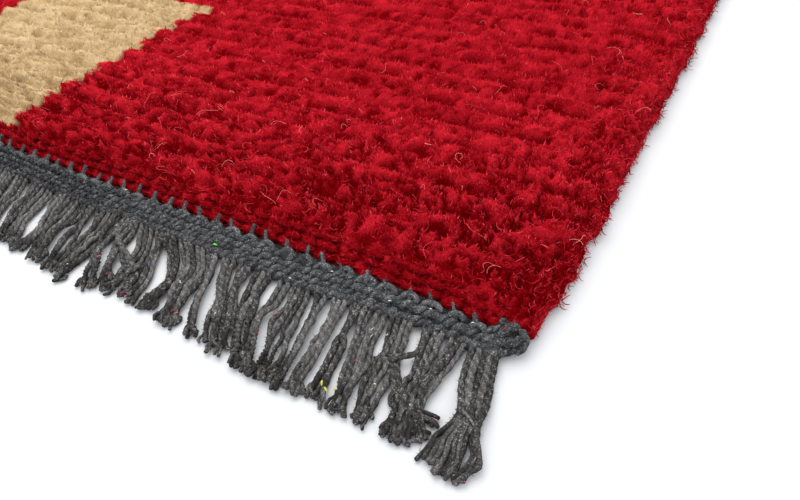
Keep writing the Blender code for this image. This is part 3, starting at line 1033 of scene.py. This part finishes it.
# The visible clumps of fringe, from the left, in millimetres: the number of cords, the left and right
# edges of the clump at the three levels and at the tips, and how far the tips reach
FRINGE_CLUMPS = (
    (3, 62.0, 74.0, 72.0, 84.0, 82.0, 95.0, 92.0, 108.0, 70),
    (3, 78.0, 89.0, 88.0, 98.0, 99.0, 108.0, 112.0, 122.0, 71),
    (3, 91.0, 104.0, 101.0, 112.0, 110.0, 120.0, 123.0, 134.0, 69),
    (2, 105.0, 111.0, 111.0, 117.5, 119.0, 125.5, 128.0, 138.0, 69),
    (3, 112.0, 124.5, 120.5, 131.5, 126.0, 135.6, 132.0, 148.0, 66),
    (4, 126.5, 144.0, 136.0, 147.5, 141.7, 152.0, 150.0, 158.5, 68),
    (2, 144.0, 150.0, 149.0, 155.6, 152.0, 159.4, 159.0, 169.0, 68),
    (3, 152.0, 162.0, 160.0, 167.0, 170.0, 175.0, 171.0, 177.0, 69),
    (5, 163.5, 182.0, 167.5, 187.0, 174.0, 185.8, 180.0, 195.5, 68),
    (2, 182.0, 187.0, 188.0, 193.9, 188.3, 201.0, 197.8, 205.0, 71),
    (5, 187.0, 210.0, 197.2, 212.0, 201.0, 212.5, 204.0, 214.0, 68),
    (1, 211.0, 215.0, 212.0, 215.5, 212.5, 215.8, 213.0, 216.5, 72),
    (2, 215.0, 218.5, 215.5, 219.5, 215.5, 220.5, 226.0, 236.0, 71),
    (2, 218.5, 222.0, 219.0, 229.0, 228.5, 233.5, 237.0, 241.0, 64),
    (3, 223.5, 235.0, 233.0, 245.0, 239.0, 250.0, 245.0, 253.0, 62),
    (3, 237.0, 246.0, 246.5, 251.0, 250.0, 261.5, 254.0, 265.0, 66),
    (2, 246.0, 250.0, 257.0, 265.5, 270.5, 275.0, 270.0, 275.5, 66),
    (6, 251.5, 277.5, 268.0, 287.0, 275.5, 288.5, 277.0, 298.0, 69),
    (2, 277.5, 281.0, 287.0, 289.5, 291.0, 296.5, 300.5, 306.5, 71),
    (3, 285.0, 294.5, 294.5, 299.5, 302.5, 309.5, 311.5, 321.0, 71),
    (3, 297.0, 305.5, 302.0, 308.5, 309.5, 318.0, 321.0, 330.0, 70),
    (3, 308.0, 318.0, 311.0, 321.5, 318.0, 327.0, 331.0, 340.0, 73),
    (2, 322.0, 330.5, 325.0, 333.0, 328.0, 333.0, 336.0, 345.0, 73),
    (4, 332.0, 342.5, 334.5, 347.5, 336.0, 351.0, 345.0, 357.0, 74),
    (2, 344.2, 352.9, 350.5, 355.2, 353.0, 358.2, 356.5, 363.0, 72),
    (3, 354.6, 363.3, 358.8, 366.0, 362.0, 366.5, 363.5, 371.0, 73),
    (2, 365.4, 370.8, 369.2, 373.3, 371.0, 378.0, 374.0, 381.7, 72),
    (4, 370.8, 385.0, 375.4, 387.0, 381.0, 391.5, 384.5, 393.0, 72),
    (4, 385.8, 398.3, 390.4, 400.8, 391.0, 403.5, 392.0, 409.5, 72),
    (3, 404.5, 413.8, 408.5, 415.0, 409.5, 417.0, 412.0, 422.5, 73),
    (3, 415.4, 424.2, 415.0, 423.3, 416.0, 422.5, 418.0, 428.0, 66),
)

# Cords that cross others, from place to place in millimetres: across, out from the pile's end, height
CROSSING_CORDS = (
    (
        (403.0, 15.5, 3.4), (405.6, 23.5, 2.4), (406.4, 29.5, 3.0),
        (403.6, 34.0, 4.2), (400.0, 37.0, 4.4), (396.0, 40.0, 2.2),
    ),
    ((396.0, 35.0, 1.9), (400.4, 41.0, 2.4), (405.0, 47.0, 2.8), (409.2, 53.5, 2.0)),
    ((399.0, 34.0, 1.9), (403.0, 41.0, 2.0), (407.4, 46.5, 2.2), (411.6, 52.5, 1.8)),
    (
        (207.0, 13.0, 6.0), (208.6, 24.0, 5.4), (211.0, 34.0, 5.0),
        (216.5, 43.0, 4.0), (226.0, 53.0, 3.0), (234.0, 65.0, 2.2),
    ),
    ((213.0, 27.0, 3.4), (222.0, 35.0, 4.2), (230.5, 39.5, 4.2), (240.0, 43.5, 3.6), (247.5, 47.5, 2.6)),
    ((228.0, 37.0, 3.4), (234.0, 43.0, 3.8), (239.5, 47.5, 3.0), (245.0, 49.0, 2.2)),
    ((252.0, 45.0, 4.6), (249.6, 51.0, 5.0), (247.8, 57.0, 3.6), (244.0, 62.5, 2.2)),
    (
        (247.0, 20.0, 4.4), (251.0, 27.5, 4.4), (261.0, 33.0, 3.4),
        (268.6, 40.0, 2.6), (270.6, 50.0, 2.4), (269.4, 57.0, 2.0),
    ),
)

# The corner tassel's cords: across at the levels of the clumps, and where they are bound
TASSEL_CORDS = (
    (427.6, 430.4, 437.0, 439.0),
    (431.0, 433.8, 439.6, 441.0),
    (434.0, 437.2, 441.6, 442.4),
    (436.6, 440.0, 443.6, 444.0),
    (438.9, 442.8, 445.8, 445.6),
)
# The yarn that binds the tassel's neck, from place to place
TASSEL_BINDING = ((434.6, 47.4, 3.2), (438.6, 48.4, 5.4), (443.0, 50.6, 5.6), (447.4, 53.4, 2.4))
# The plies that splay beside the tassel: which way each points and how far, in radians and millimetres
SPRAY = (
    (-0.15, 13.0), (0.10, 14.2), (0.28, 12.0), (0.45, 13.4), (0.62, 10.0), (0.80, 10.8),
    (0.95, 9.2), (1.10, 10.6), (0.20, 8.0), (0.70, 7.6), (1.25, 12.4), (1.40, 10.0),
)
# The short cords wound over the corner's coil, each from place to place
COIL_CORDS = (
    ((444.6, 10.6, 3.0), (446.6, 8.2, 4.2), (446.6, 4.8, 6.4), (443.6, 2.4, 8.0)),
    (
        (433.0, 15.6, 2.6), (437.4, 14.6, 2.8), (441.4, 12.4, 3.4),
        (444.8, 9.0, 4.4), (445.8, 5.6, 5.8),
    ),
    (
        (424.0, 14.0, 3.8), (428.0, 16.0, 4.0), (432.5, 14.6, 5.0),
        (435.0, 11.6, 6.0), (433.0, 9.4, 6.6),
    ),
    (
        (428.5, 10.0, 5.8), (431.0, 12.6, 6.6), (434.6, 12.0, 6.8),
        (438.0, 9.6, 6.4), (441.4, 9.8, 4.0),
    ),
    (
        (429.5, 8.2, 6.0), (432.0, 6.0, 7.0), (435.6, 4.6, 7.6),
        (438.0, 6.2, 8.4), (436.6, 8.8, 8.4),
    ),
)

# The plain cords left of the photographed view end here, in millimetres across
LOOSE_CORDS_END = 60.0
CORD_THICKNESS = 0.00152
CORD_PITCH = 0.0088
CORD_PLY = 0.085


def clumped_cords(rng):
    """The stations of each cord in the table of clumps."""
    rows = []
    for cords, *edges, reach in FRINGE_CLUMPS:
        edges = np.array(edges).reshape(4, 2)
        own = 1.6 * rng.normal(size=cords)
        swap = rng.permutation(cords) if cords > 3 else np.arange(cords)
        for number in range(cords):
            at = edges[:, 0] + (edges[:, 1] - edges[:, 0]) * (number + 0.5) / cords
            if cords > 3:
                last = edges[3, 0] + (edges[3, 1] - edges[3, 0]) * (swap[number] + 0.5) / cords
                at[3] = 0.55 * at[3] + 0.45 * last
            tight = (edges[:, 1] - edges[:, 0]) < 3.1 * cords
            over = np.where(tight, 2.4 * ((number * 2) % 3) / 2, 0.3)
            rows.append((at, over, reach - 5.6 + own[number]))
    return rows


def loose_cords(rng, low, high):
    """Cords out of the photographed view: evenly spaced, leaning, in small clumps of their own."""
    count = int((high - low) / 4.1)
    at = low + (high - low) * (np.arange(count) + 0.5) / count
    clump = np.cumsum(rng.random(count) < 0.4)
    own_lean = np.radians(33 + 6 * rng.normal(size=clump.max() + 1))[clump]
    pull = np.array([at[clump == clump[k]].mean() for k in range(count)])
    rows = []
    for number in range(count):
        reach = 64 + 1.8 * rng.normal()
        depth = np.array((20.0, 33.5, 48.0, reach))
        drift = np.tan(own_lean[number]) * (depth - 16)
        squeeze = (pull[number] - at[number]) * np.array((0.0, 0.25, 0.5, 0.35))
        places = at[number] + drift + squeeze + 0.8 * rng.normal(size=4) * (0, 1, 1, 1)
        rows.append((places, np.full(4, 1.3 * (number % 2)), reach))
    return rows


def cord_stations(rows):
    """Stations in metres for cords given as places across, heights over the floor and reach."""
    stations = []
    for at, over, reach in rows:
        root = at[0] - 0.30 * (at[1] - at[0])
        x = np.array((root, *at)) / 1000
        depth = np.array((0.0145, *FRINGE_LEVELS, reach / 1000))
        y = -(HALF_LENGTH + depth)
        lowest = CORD_THICKNESS + 0.0001
        z = np.array((0.0036, lowest + 0.0012, *(lowest + np.array(over[1:]) / 1000)))
        z[-1] = lowest + 0.4 * (z[-1] - lowest)
        stations.append(np.stack([x, y, z], axis=1))
    return np.array(stations)


def add_fringe(turn, yarn, coil_yarn):
    """The fringe: two-ply cords from under the band to frayed tips."""
    heap = Heap()
    rng = np.random.default_rng(87)
    seen = [] if turn else clumped_cords(rng)
    rest = loose_cords(rng, -438.0, 440.0 if turn else LOOSE_CORDS_END)
    hair = Heap()
    for rows, fine in ((seen, True), (rest, False)):
        if not rows:
            continue
        paths = smooth_path(cord_stations(rows), 42 if fine else 9)
        if turn:
            paths = half_turned(paths)
        count, steps, _ = paths.shape
        t = np.linspace(0, 1, steps)[None, :]
        row = np.arange(count)[:, None] * 3.7
        sway = 0.0010 * soft_noise(6 * t, row, 88) + 0.0008 * soft_noise(13 * t, row, 89)
        paths[..., 0] += np.minimum(2 * t, 1) * sway
        paths[..., 2] += 0.0005 * t * np.abs(soft_noise(7 * t, row, 90))
        swell = 1 + 0.09 * rng.normal(size=(count, 1)) + 0.13 * soft_noise(14 * t, row, 92)
        thick = CORD_THICKNESS * swell
        paths[..., 2] = np.maximum(paths[..., 2], 1.1 * thick)
        # Painted shade along each cord: a shadow where it comes out from under the band, and darker
        # towards its tip
        shade = 1.1 - 0.9 * smooth_step(0.82, 1.0, t) - 0.7 * (1 - smooth_step(0.0, 0.14, t))
        tubes(
            heap, paths, thick, 8 if fine else 5,
            ply=CORD_PLY if fine else 0.0, pitch=CORD_PITCH,
            phase=rng.uniform(0, 6, count), tone=rng.uniform(-1, 1, count),
            tip=np.repeat(shade, count, axis=0),
        )
        fray(heap, paths, rng, 5 if fine else 1)
        if fine:
            fuzz(hair, paths, CORD_THICKNESS, 1700, 0.0017, rng)
    pieces = [heap.piece("fringe_cords_back" if turn else "fringe_cords_front", yarn)]
    if not turn:
        add_crossings(pieces, hair, yarn, coil_yarn)
        pieces.append(hair.piece("fringe_hair", yarn))
    return pieces


def placed(places):
    """Stations in metres, from places in millimetres: across, out from the pile's end, height."""
    across, out, height = np.array(places, float).T / 1000
    return np.stack([across, -(HALF_LENGTH + out), height], axis=1)


def add_crossings(pieces, hair, yarn, coil_yarn):
    """The cords that cross others, the corner's tassel and the coil on the corner."""
    rng = np.random.default_rng(91)
    heap = Heap()
    for places in CROSSING_CORDS:
        path = smooth_path(placed(places)[None], 26)
        tubes(heap, path, 0.00145, 8, ply=CORD_PLY, pitch=CORD_PITCH, tone=rng.uniform(-0.8, 0.5))
        fray(heap, path, rng, 6)
        fuzz(hair, path, CORD_THICKNESS, 1700, 0.0020, rng)
    pieces.append(heap.piece("fringe_crossing_cords", yarn))

    tassel = Heap()
    depths = (0.0130, *FRINGE_LEVELS, 0.0545)
    stations = []
    for number, across in enumerate(TASSEL_CORDS):
        first = across[0] - 0.6
        x = np.array((first, *across)) / 1000
        odd = number % 2
        z = np.array((4.4, 3.4, 2.6 + 1.6 * odd, 2.4 + 1.8 * (1 - odd), 2.6 + 0.8 * odd)) / 1000
        stations.append(np.stack([x, -(HALF_LENGTH + np.array(depths)), z], axis=1))
    paths = smooth_path(np.array(stations), 40)
    wave = np.linspace(0, 1, 40)[None, :]
    own = np.arange(5)[:, None] * 2.3
    paths[..., 0] += 0.0009 * wave * soft_noise(5 * wave, own, 93)
    swell = 0.00172 * (1 + 0.12 * soft_noise(16 * wave, own, 94))
    tubes(
        tassel, paths, swell, 8, ply=CORD_PLY, pitch=CORD_PITCH,
        phase=rng.uniform(0, 6, 5), tone=rng.uniform(-1, 1, 5),
    )
    fuzz(hair, paths, CORD_THICKNESS, 2200, 0.0020, rng)
    add_fan(tassel, hair, rng)
    binding = smooth_path(placed(TASSEL_BINDING)[None], 18)
    tubes(tassel, binding, 0.00055, 6, tone=1.0)
    for number, (heading, far) in enumerate(SPRAY):
        across = 417.0 + 0.3 * number
        out = 55.4 + 0.4 * rng.normal()
        aside, ahead = math.cos(heading), math.sin(heading)
        bend = 1.3 * rng.normal()
        spray = smooth_path(placed((
            (across, out, 2.4),
            (
                across + 0.4 * far * aside - bend * ahead,
                out + 0.4 * far * ahead + bend * aside,
                3.0 + 0.5 * (number % 3),
            ),
            (
                across + 0.8 * far * aside + bend * ahead,
                out + 0.8 * far * ahead - bend * aside,
                2.4 + 0.5 * (number % 2),
            ),
            (across + far * aside, out + far * ahead, 1.4),
        ))[None], 12)
        tubes(tassel, spray, 0.00100, 6, tone=rng.uniform(-1, 0.2), tip=0.35)
    pieces.append(tassel.piece("corner_tassel", yarn))

    coil = Heap()
    turns = np.linspace(0, math.tau, 120)
    around = np.stack([
        439.6 + 4.6 * np.sin(2 * turns + 0.3) + 1.0 * np.sin(7 * turns),
        6.0 + 4.0 * np.sin(3 * turns + 1.1) + 0.8 * np.sin(8 * turns),
        6.6 + 2.4 * np.sin(5 * turns + 0.4),
    ], axis=1)
    path = placed(around)[None]
    tubes(coil, path, 0.00150, 8, ply=0.08, pitch=0.0070, tone=-0.2)
    fuzz(hair, path, 0.0018, 1900, 0.0022, rng)
    for places in COIL_CORDS:
        path = smooth_path(placed(places)[None], 24)
        tubes(coil, path, 0.00165, 8, ply=0.06, pitch=0.0070, tone=rng.uniform(-0.6, 0.6))
        fuzz(hair, path, 0.0018, 1900, 0.0022, rng)
    pieces.append(coil.piece("corner_coil", coil_yarn))


# How far out the fan's plies reach, in millimetres, at shares of its width from its left finger
FAN_SHARES = (0.0, 0.1, 0.2, 0.27, 0.33, 0.5, 0.75, 0.9, 1.0)
FAN_REACH = (73.4, 72.4, 71.4, 71.6, 74.0, 74.6, 74.4, 73.0, 70.6)


def add_fan(heap, hair, rng):
    """The tassel's unravelled end: wavy plies spread from its binding, with a hole at the right."""
    first = (0.0, 0.04, 0.17, 0.20, 0.25)
    share = np.concatenate([first, np.linspace(0.31, 0.64, 10), np.linspace(0.80, 1.0, 8)])
    count = len(share)
    share = share + 0.006 * rng.normal(size=count)
    paths = []
    for number, at in enumerate(share):
        aside = 1.0 if at > 0.72 else -0.5
        reach = np.interp(at, FAN_SHARES, FAN_REACH)
        height = (0.0, 1.5, 2.9)[number * 5 % 3]
        paths.append(placed((
            (436.0 + 8.2 * at, 48.0, 1.8 + height * 0.6),
            (435.6 + 11.5 * at + aside * 0.5, 55.0, 1.6 + height),
            (433.0 + 18.4 * at + aside, 63.0, 1.4 + height * 0.9),
            (
                430.6 + 23.2 * at - 2.4 * aside * (at > 0.30) + 0.6 * rng.normal(),
                reach + 0.8 * rng.normal(),
                1.2 + height * 0.4,
            ),
        )))
    paths = smooth_path(np.array(paths), 16)
    along = np.linspace(0, 1, 16)[None, :]
    own = np.arange(count)[:, None]
    paths[:, :, 0] += 0.0018 * along * soft_noise(5 * along, own * 2.3, 95)
    swell = 1 + 0.12 * rng.normal(size=(count, 1)) + 0.12 * soft_noise(6 * along, own, 96)
    tubes(
        heap, paths, 0.00108 * swell, 6,
        tone=rng.uniform(-1, 0.8, count), tip=rng.uniform(0.2, 0.9, count),
    )
    fuzz(hair, paths, 0.0011, 1500, 0.0018, rng)


def fray(heap, paths, rng, each):
    """The unravelled ends: short soft plies, close together, that splay a little from each tip."""
    ends = np.repeat(paths[:, -1], each, axis=0)
    ahead = np.repeat(unit(paths[:, -1] - paths[:, -2]), each, axis=0)
    count = len(ends)
    side = unit(np.cross(ahead, UP))
    shift = rng.uniform(-1, 1, (count, 1)) * 0.0012
    way = unit(ahead + side * (shift / 0.0012 * 0.40 + 0.22 * rng.normal(size=(count, 1))))
    long = 0.0034 + 0.0012 * rng.normal(size=(count, 1))
    t = np.linspace(0, 1, 4)[None, :, None]
    curl = 0.0010 * rng.normal(size=(count, 1, 3)) * np.sin(math.pi * t)
    path = ends[:, None, :] + (side * shift)[:, None, :] - 0.002 * ahead[:, None, :]
    path = path + way[:, None, :] * (long[:, None, :] + 0.002) * t + curl
    path[:, :, 2] = np.maximum(path[:, :, 2] + rng.uniform(-0.001, 0.0008, (count, 1)), 0.0013)
    thick = (0.00100 + 0.00016 * rng.normal(size=(count, 1))).clip(0.0006, 0.0013)
    thick = thick * np.array((0.9, 1, 1.1, 0.85))
    tubes(heap, path, thick, 5, tone=rng.uniform(-1, 0.4, count), tip=rng.uniform(0.35, 0.9, count))


# The colours of the loose pale fibres, from one to the next
STRAY_COLORS = ((0.84, 0.16, 0.14), (0.80, 0.09, 0.10), (0.88, 0.36, 0.28), (0.74, 0.06, 0.08))


def add_strays():
    """Loose pale fibres that lie curled over the pile."""
    rng = np.random.default_rng(101)
    heap = Heap()
    count = 165
    x = rng.uniform(0.06, 0.448, count)
    y = -HALF_LENGTH + 0.014 + 0.36 * rng.random(count) ** 1.6
    z = pile_height(x, y) + 0.0042 + 0.0012 * rng.random(count)
    long = 0.0040 + 0.0140 * rng.random(count) ** 2.2
    turn = rng.uniform(0, math.tau, count)
    bend = rng.normal(size=(count, 1)) * 1.1
    t = np.linspace(-1, 1, 9)[None, :]
    heading = turn[:, None] + bend * t + 0.6 * np.sin(2.5 * t + turn[:, None])
    step = long[:, None] / 8
    path = np.stack([
        x[:, None] + np.cumsum(np.cos(heading) * step, axis=1),
        y[:, None] + np.cumsum(np.sin(heading) * step, axis=1),
        z[:, None] + 0.0022 * rng.random((count, 1)) * np.cos(1.4 * t) - 0.0014 * t**2,
    ], axis=2)
    thick = rng.uniform(0.00004, 0.00009, (count, 1)) * np.ones((1, 9))
    tubes(heap, path, thick, 3, tone=rng.uniform(0, 1, count))
    paint = Paint("stray wool")
    tone = paint.number("tone")
    stops = [(number / len(STRAY_COLORS), color) for number, color in enumerate(STRAY_COLORS)]
    ramp = paint.node("ShaderNodeValToRGB", {"stops": stops}, {"Fac": tone})
    item = heap.piece("stray_fibres", paint.finish(ramp.outputs[0], rough=1.0))
    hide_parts("pile")
    return [item]


LARGE_FLECKS = ("green", "yellow")
FLECK_COLORS = {
    "green": (0.10, 0.80, 0.06),
    "pink": (0.75, 0.16, 0.24),
    "magenta": (0.42, 0.03, 0.10),
    "red": (0.60, 0.03, 0.03),
    "yellow": (0.50, 0.50, 0.06),
    "white": (0.70, 0.70, 0.70),
    "beige": (0.50, 0.42, 0.32),
    "blue": (0.10, 0.10, 0.28),
}

# Coloured flecks spun into the yarn, in millimetres and radians: colour, across, out from the pile's
# end, height, length, heading
FLECKS = (
    ("green", 277.6, 17.4, 6.8, 4.2, 0.1), ("pink", 336.5, 39.5, 4.0, 3.0, 0.9),
    ("red", 336.0, 52.6, 3.6, 2.4, 0.5), ("magenta", 338.0, 58.0, 3.4, 3.0, 0.2),
    ("magenta", 256.5, 64.4, 3.4, 4.0, 1.2), ("pink", 257.8, 64.8, 3.5, 2.0, 1.2),
    ("blue", 256.0, 43.0, 4.2, 4.0, 0.4), ("yellow", 378.5, 62.0, 3.9, 4.6, -1.0),
    ("yellow", 383.0, 64.0, 3.9, 4.2, -0.6), ("yellow", 385.0, 62.6, 3.8, 3.0, 0.6),
    ("magenta", 385.4, 46.6, 4.4, 3.4, 0.1), ("white", 390.0, 27.2, 4.4, 1.8, 1.2),
    ("white", 398.6, 52.4, 3.9, 1.8, 0.1), ("white", 423.0, 8.4, 9.4, 2.4, 0.3),
    ("white", 347.0, 8.6, 9.0, 2.4, 0.3), ("white", 383.5, 12.8, 8.4, 2.6, 0.4),
    ("white", 330.0, 19.8, 5.2, 2.4, 0.1), ("white", 307.5, 51.8, 4.0, 2.0, 0.9),
    ("white", 279.0, 44.6, 4.4, 1.8, -0.6), ("red", 437.2, 6.0, 11.2, 2.0, 0.9),
    ("pink", 450.5, 73.2, 2.4, 2.6, 0.5), ("beige", 360.0, 31.5, 4.3, 4.6, -0.9),
    ("beige", 362.4, 35.5, 4.3, 4.0, -1.0), ("beige", 382.6, 27.0, 4.3, 4.6, 1.4),
    ("beige", 384.6, 31.0, 4.2, 4.0, 1.4), ("white", 402.4, 7.8, 9.2, 2.2, 0.2),
    ("pink", 292.0, 60.4, 3.8, 2.4, 0.4), ("white", 201.7, 5.9, 10.6, 2.6, 0.9),
    ("pink", 224.6, 50.5, 4.2, 4.0, 1.3), ("magenta", 239.0, 57.5, 3.8, 3.6, 1.2),
    ("white", 279.7, 45.5, 4.2, 1.8, 0.3), ("white", 310.0, 53.1, 4.2, 2.0, 1.2),
    ("red", 289.5, 60.7, 3.8, 2.4, 0.3), ("white", 212.5, 61.8, 3.6, 1.8, 0.8),
    ("white", 129.3, 32.0, 5.0, 1.8, 0.4), ("white", 446.0, 53.6, 4.6, 2.6, 1.4),
    ("pink", 430.0, 55.4, 3.0, 1.6, 0.2), ("blue", 217.0, 16.0, 7.4, 3.0, 0.1),
)


# How far a fleck's middle stands off the nearest point of the yarn
FLECK_STANDOFF = 0.0004


def piece_points(item):
    """The points of a piece's mesh, in metres."""
    points = np.empty(3 * len(item.data.vertices), np.float32)
    item.data.vertices.foreach_get("co", points)
    return points.reshape(-1, 3).astype(float)


def add_flecks(yarn_pieces):
    """The coloured flecks, each drawn onto the nearest yarn."""
    yarn = np.concatenate([piece_points(item) for item in yarn_pieces if "hair" not in item.name])
    pieces = []
    for name, color in FLECK_COLORS.items():
        heap = Heap()
        for kind, across, out, height, long, heading in FLECKS:
            if kind != name:
                continue
            t = np.linspace(-0.5, 0.5, 5)
            path = placed(np.stack([
                across + 0.6 * long * t * math.cos(heading),
                out - 0.6 * long * t * math.sin(heading),
                height + 0.5 - 1.2 * t**2,
            ], axis=1))[None]
            away = yarn - path[0, 2]
            gaps = np.linalg.norm(away, axis=1)
            nearest = np.argmin(gaps)
            path = path + away[nearest] * max(1 - FLECK_STANDOFF / gaps[nearest], 0)
            share = 0.8 if name in LARGE_FLECKS else 0.40
            thick = share * np.array((0.0003, 0.00055, 0.00062, 0.0005, 0.0002))[None]
            tubes(heap, path, thick, 6, tone=1.0)
        paint = Paint(name + " fleck wool")
        grain = paint.noise((1500, 1500, 1500), 2.0)
        shade = paint.mix(grain, tuple(0.5 * part for part in color), color)
        item = heap.piece(name + "_flecks", paint.finish(shade, rough=1.0))
        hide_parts("fringe_front")
        pieces.append(item)
    return pieces


# The right side's loose hair, near the photographed corner, ends here along the rug
SIDE_HAIR_END = -0.40


def add_binding(left, yarn):
    """The oversewn side: yarn wrapped round the outer warps, each wrap a slanting ridge."""
    heap = Heap()
    step = 0.0030 if left else 0.0014
    y = lines_from(HALF_LENGTH, -HALF_LENGTH, HALF_LENGTH, step, 0.0, step)
    sides = 8
    angle = math.tau * np.arange(sides) / sides
    centre_x = right_side(y) + CLEARANCE + BINDING_WIDTH / 2 - 0.0010
    wrap = 0.0120 if left else 0.0042
    phase = math.tau * y[:, None] / wrap - 1.2 * np.sin(angle)[None, :]
    reach = 1 + 0.13 * np.cos(phase)
    points = np.stack([
        centre_x[:, None] + 0.0029 * reach * np.cos(angle),
        np.broadcast_to(y[:, None], (len(y), sides)),
        0.0036 + 0.0031 * reach * np.sin(angle),
    ], axis=2)
    if left:
        points = half_turned(points)
    total = len(y) * sides
    last = total - sides
    ring = np.arange(sides)
    beside = np.roll(ring, -1)
    near = np.stack([ring, beside, np.full(sides, total)], axis=1)
    far = np.stack([last + beside, last + ring, np.full(sides, total + 1)], axis=1)
    ends = np.stack([points[0].mean(axis=0), points[-1].mean(axis=0)])
    heap.add(
        np.concatenate([points.reshape(-1, 3), ends]),
        [grid_faces(len(y), sides, closed=True)[:, ::-1], near, far],
    )
    pieces = [heap.piece("side_binding_wraps_left" if left else "side_binding_wraps_right", yarn)]
    if not left:
        path = np.stack([centre_x, y, np.full(len(y), 0.0036)], axis=1)[y < SIDE_HAIR_END][None]
        hair = Heap()
        fuzz(hair, path, 0.0052, 9000, 0.0018, np.random.default_rng(111))
        pieces.append(hair.piece("side_binding_hair", pile_wool("side hair wool")))
    for item in pieces:
        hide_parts("side_binding_left" if left else "side_binding_right")


def slab_faces(rows, columns):
    """The faces of a closed slab between two grids of points, the low grid first."""
    low = np.arange(rows * columns).reshape(rows, columns)
    rim = np.concatenate([low[0, :], low[1:, -1], low[-1, -2::-1], low[-2:0:-1, 0]])
    beside = np.roll(rim, -1)
    lift = rows * columns
    return [
        grid_faces(rows, columns)[:, ::-1],
        grid_faces(rows, columns) + lift,
        np.stack([rim, beside, beside + lift, rim + lift], axis=1),
    ]


def add_backing():
    """The woven ground that the knots are tied on, which shows from below."""
    heap = Heap()
    across = np.linspace(-PILE_HALF_WIDTH, PILE_HALF_WIDTH, 31)
    along = np.linspace(-HALF_LENGTH, HALF_LENGTH, 45)
    x, y = np.meshgrid(across, along)
    low = np.stack([x, y, np.full(x.shape, 0.0004)], axis=2)
    heap.add(np.stack([low, low + UP * 0.0016]), slab_faces(45, 31))
    paint = Paint("woven ground")
    weave = paint.noise((600, 90, 10), 2.0)
    rows = paint.noise((80, 420, 10), 2.0)
    lift = (weave * 0.6 + rows * 0.6 - 0.1).above(0.1, 0.9)
    color = paint.mix(lift, (0.10, 0.004, 0.006), (0.30, 0.014, 0.020))
    material = paint.finish(color, bump=paint.bump(lift.socket, 0.8, 0.001))
    item = heap.piece("woven_ground", material)
    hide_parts("pile")
    return item


def add_floor():
    bpy.ops.mesh.primitive_plane_add(size=12.0, location=(0, 0, -0.0002))
    floor = bpy.context.object
    floor.name = "floor"
    paint = Paint("pale floor")
    floor.data.materials.append(paint.finish((0.455, 0.455, 0.457), rough=0.8))


def add_light(name, place, aim, size, power, color):
    lamp = bpy.data.lights.new(name, "AREA")
    lamp.shape = "DISK"
    lamp.size = size
    lamp.energy = power
    lamp.color = color
    item = bpy.data.objects.new(name, lamp)
    item.location = place
    item.rotation_euler = (Vector(aim) - Vector(place)).to_track_quat("-Z", "Y").to_euler()
    bpy.context.scene.collection.objects.link(item)


def add_studio():
    world = bpy.data.worlds.new("studio")
    world.use_nodes = True
    background = world.node_tree.nodes["Background"]
    background.inputs["Color"].default_value = (0.93, 0.96, 1.0, 1)
    background.inputs["Strength"].default_value = 2.05
    bpy.context.scene.world = world
    add_light("key light", (-0.40, 0.10, 1.9), (0.25, -0.45, 0), 2.0, 36, (1.0, 0.98, 0.95))
    bpy.context.scene.view_settings.view_transform = "Standard"


def add_camera():
    data = bpy.data.cameras.new("camera")
    data.lens = LENS
    data.sensor_width = SENSOR
    data.clip_start = 0.01
    item = bpy.data.objects.new("camera", data)
    turn = Matrix((EYE_RIGHT, EYE_UP, EYE_BACK)).transposed()
    item.matrix_world = Matrix.Translation(EYE) @ turn.to_4x4()
    bpy.context.scene.collection.objects.link(item)
    bpy.context.scene.camera = item


add_camera()
add_floor()
add_studio()
pile_pieces = add_pile()
cord_yarn = grey_yarn("cord yarn", (1.03, 1.0, 0.98))
band_yarn = grey_yarn("band yarn", (0.86, 0.88, 0.92))
binding = knot_yarn("binding yarn", (0.10, 0.001, 0.002), (0.27, 0.005, 0.009))
ends = []
for turn in (False, True):
    pile_pieces += add_knots(turn)
    grey_pieces = add_band(turn, band_yarn) + add_pegs(turn, band_yarn)
    grey_pieces += add_fringe(turn, cord_yarn, band_yarn)
    for item in grey_pieces:
        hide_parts("fringe_back" if turn else "fringe_front")
    ends += grey_pieces
    add_binding(turn, binding)
pile_pieces += add_strays()
ends += add_flecks(ends)
ground = add_backing()
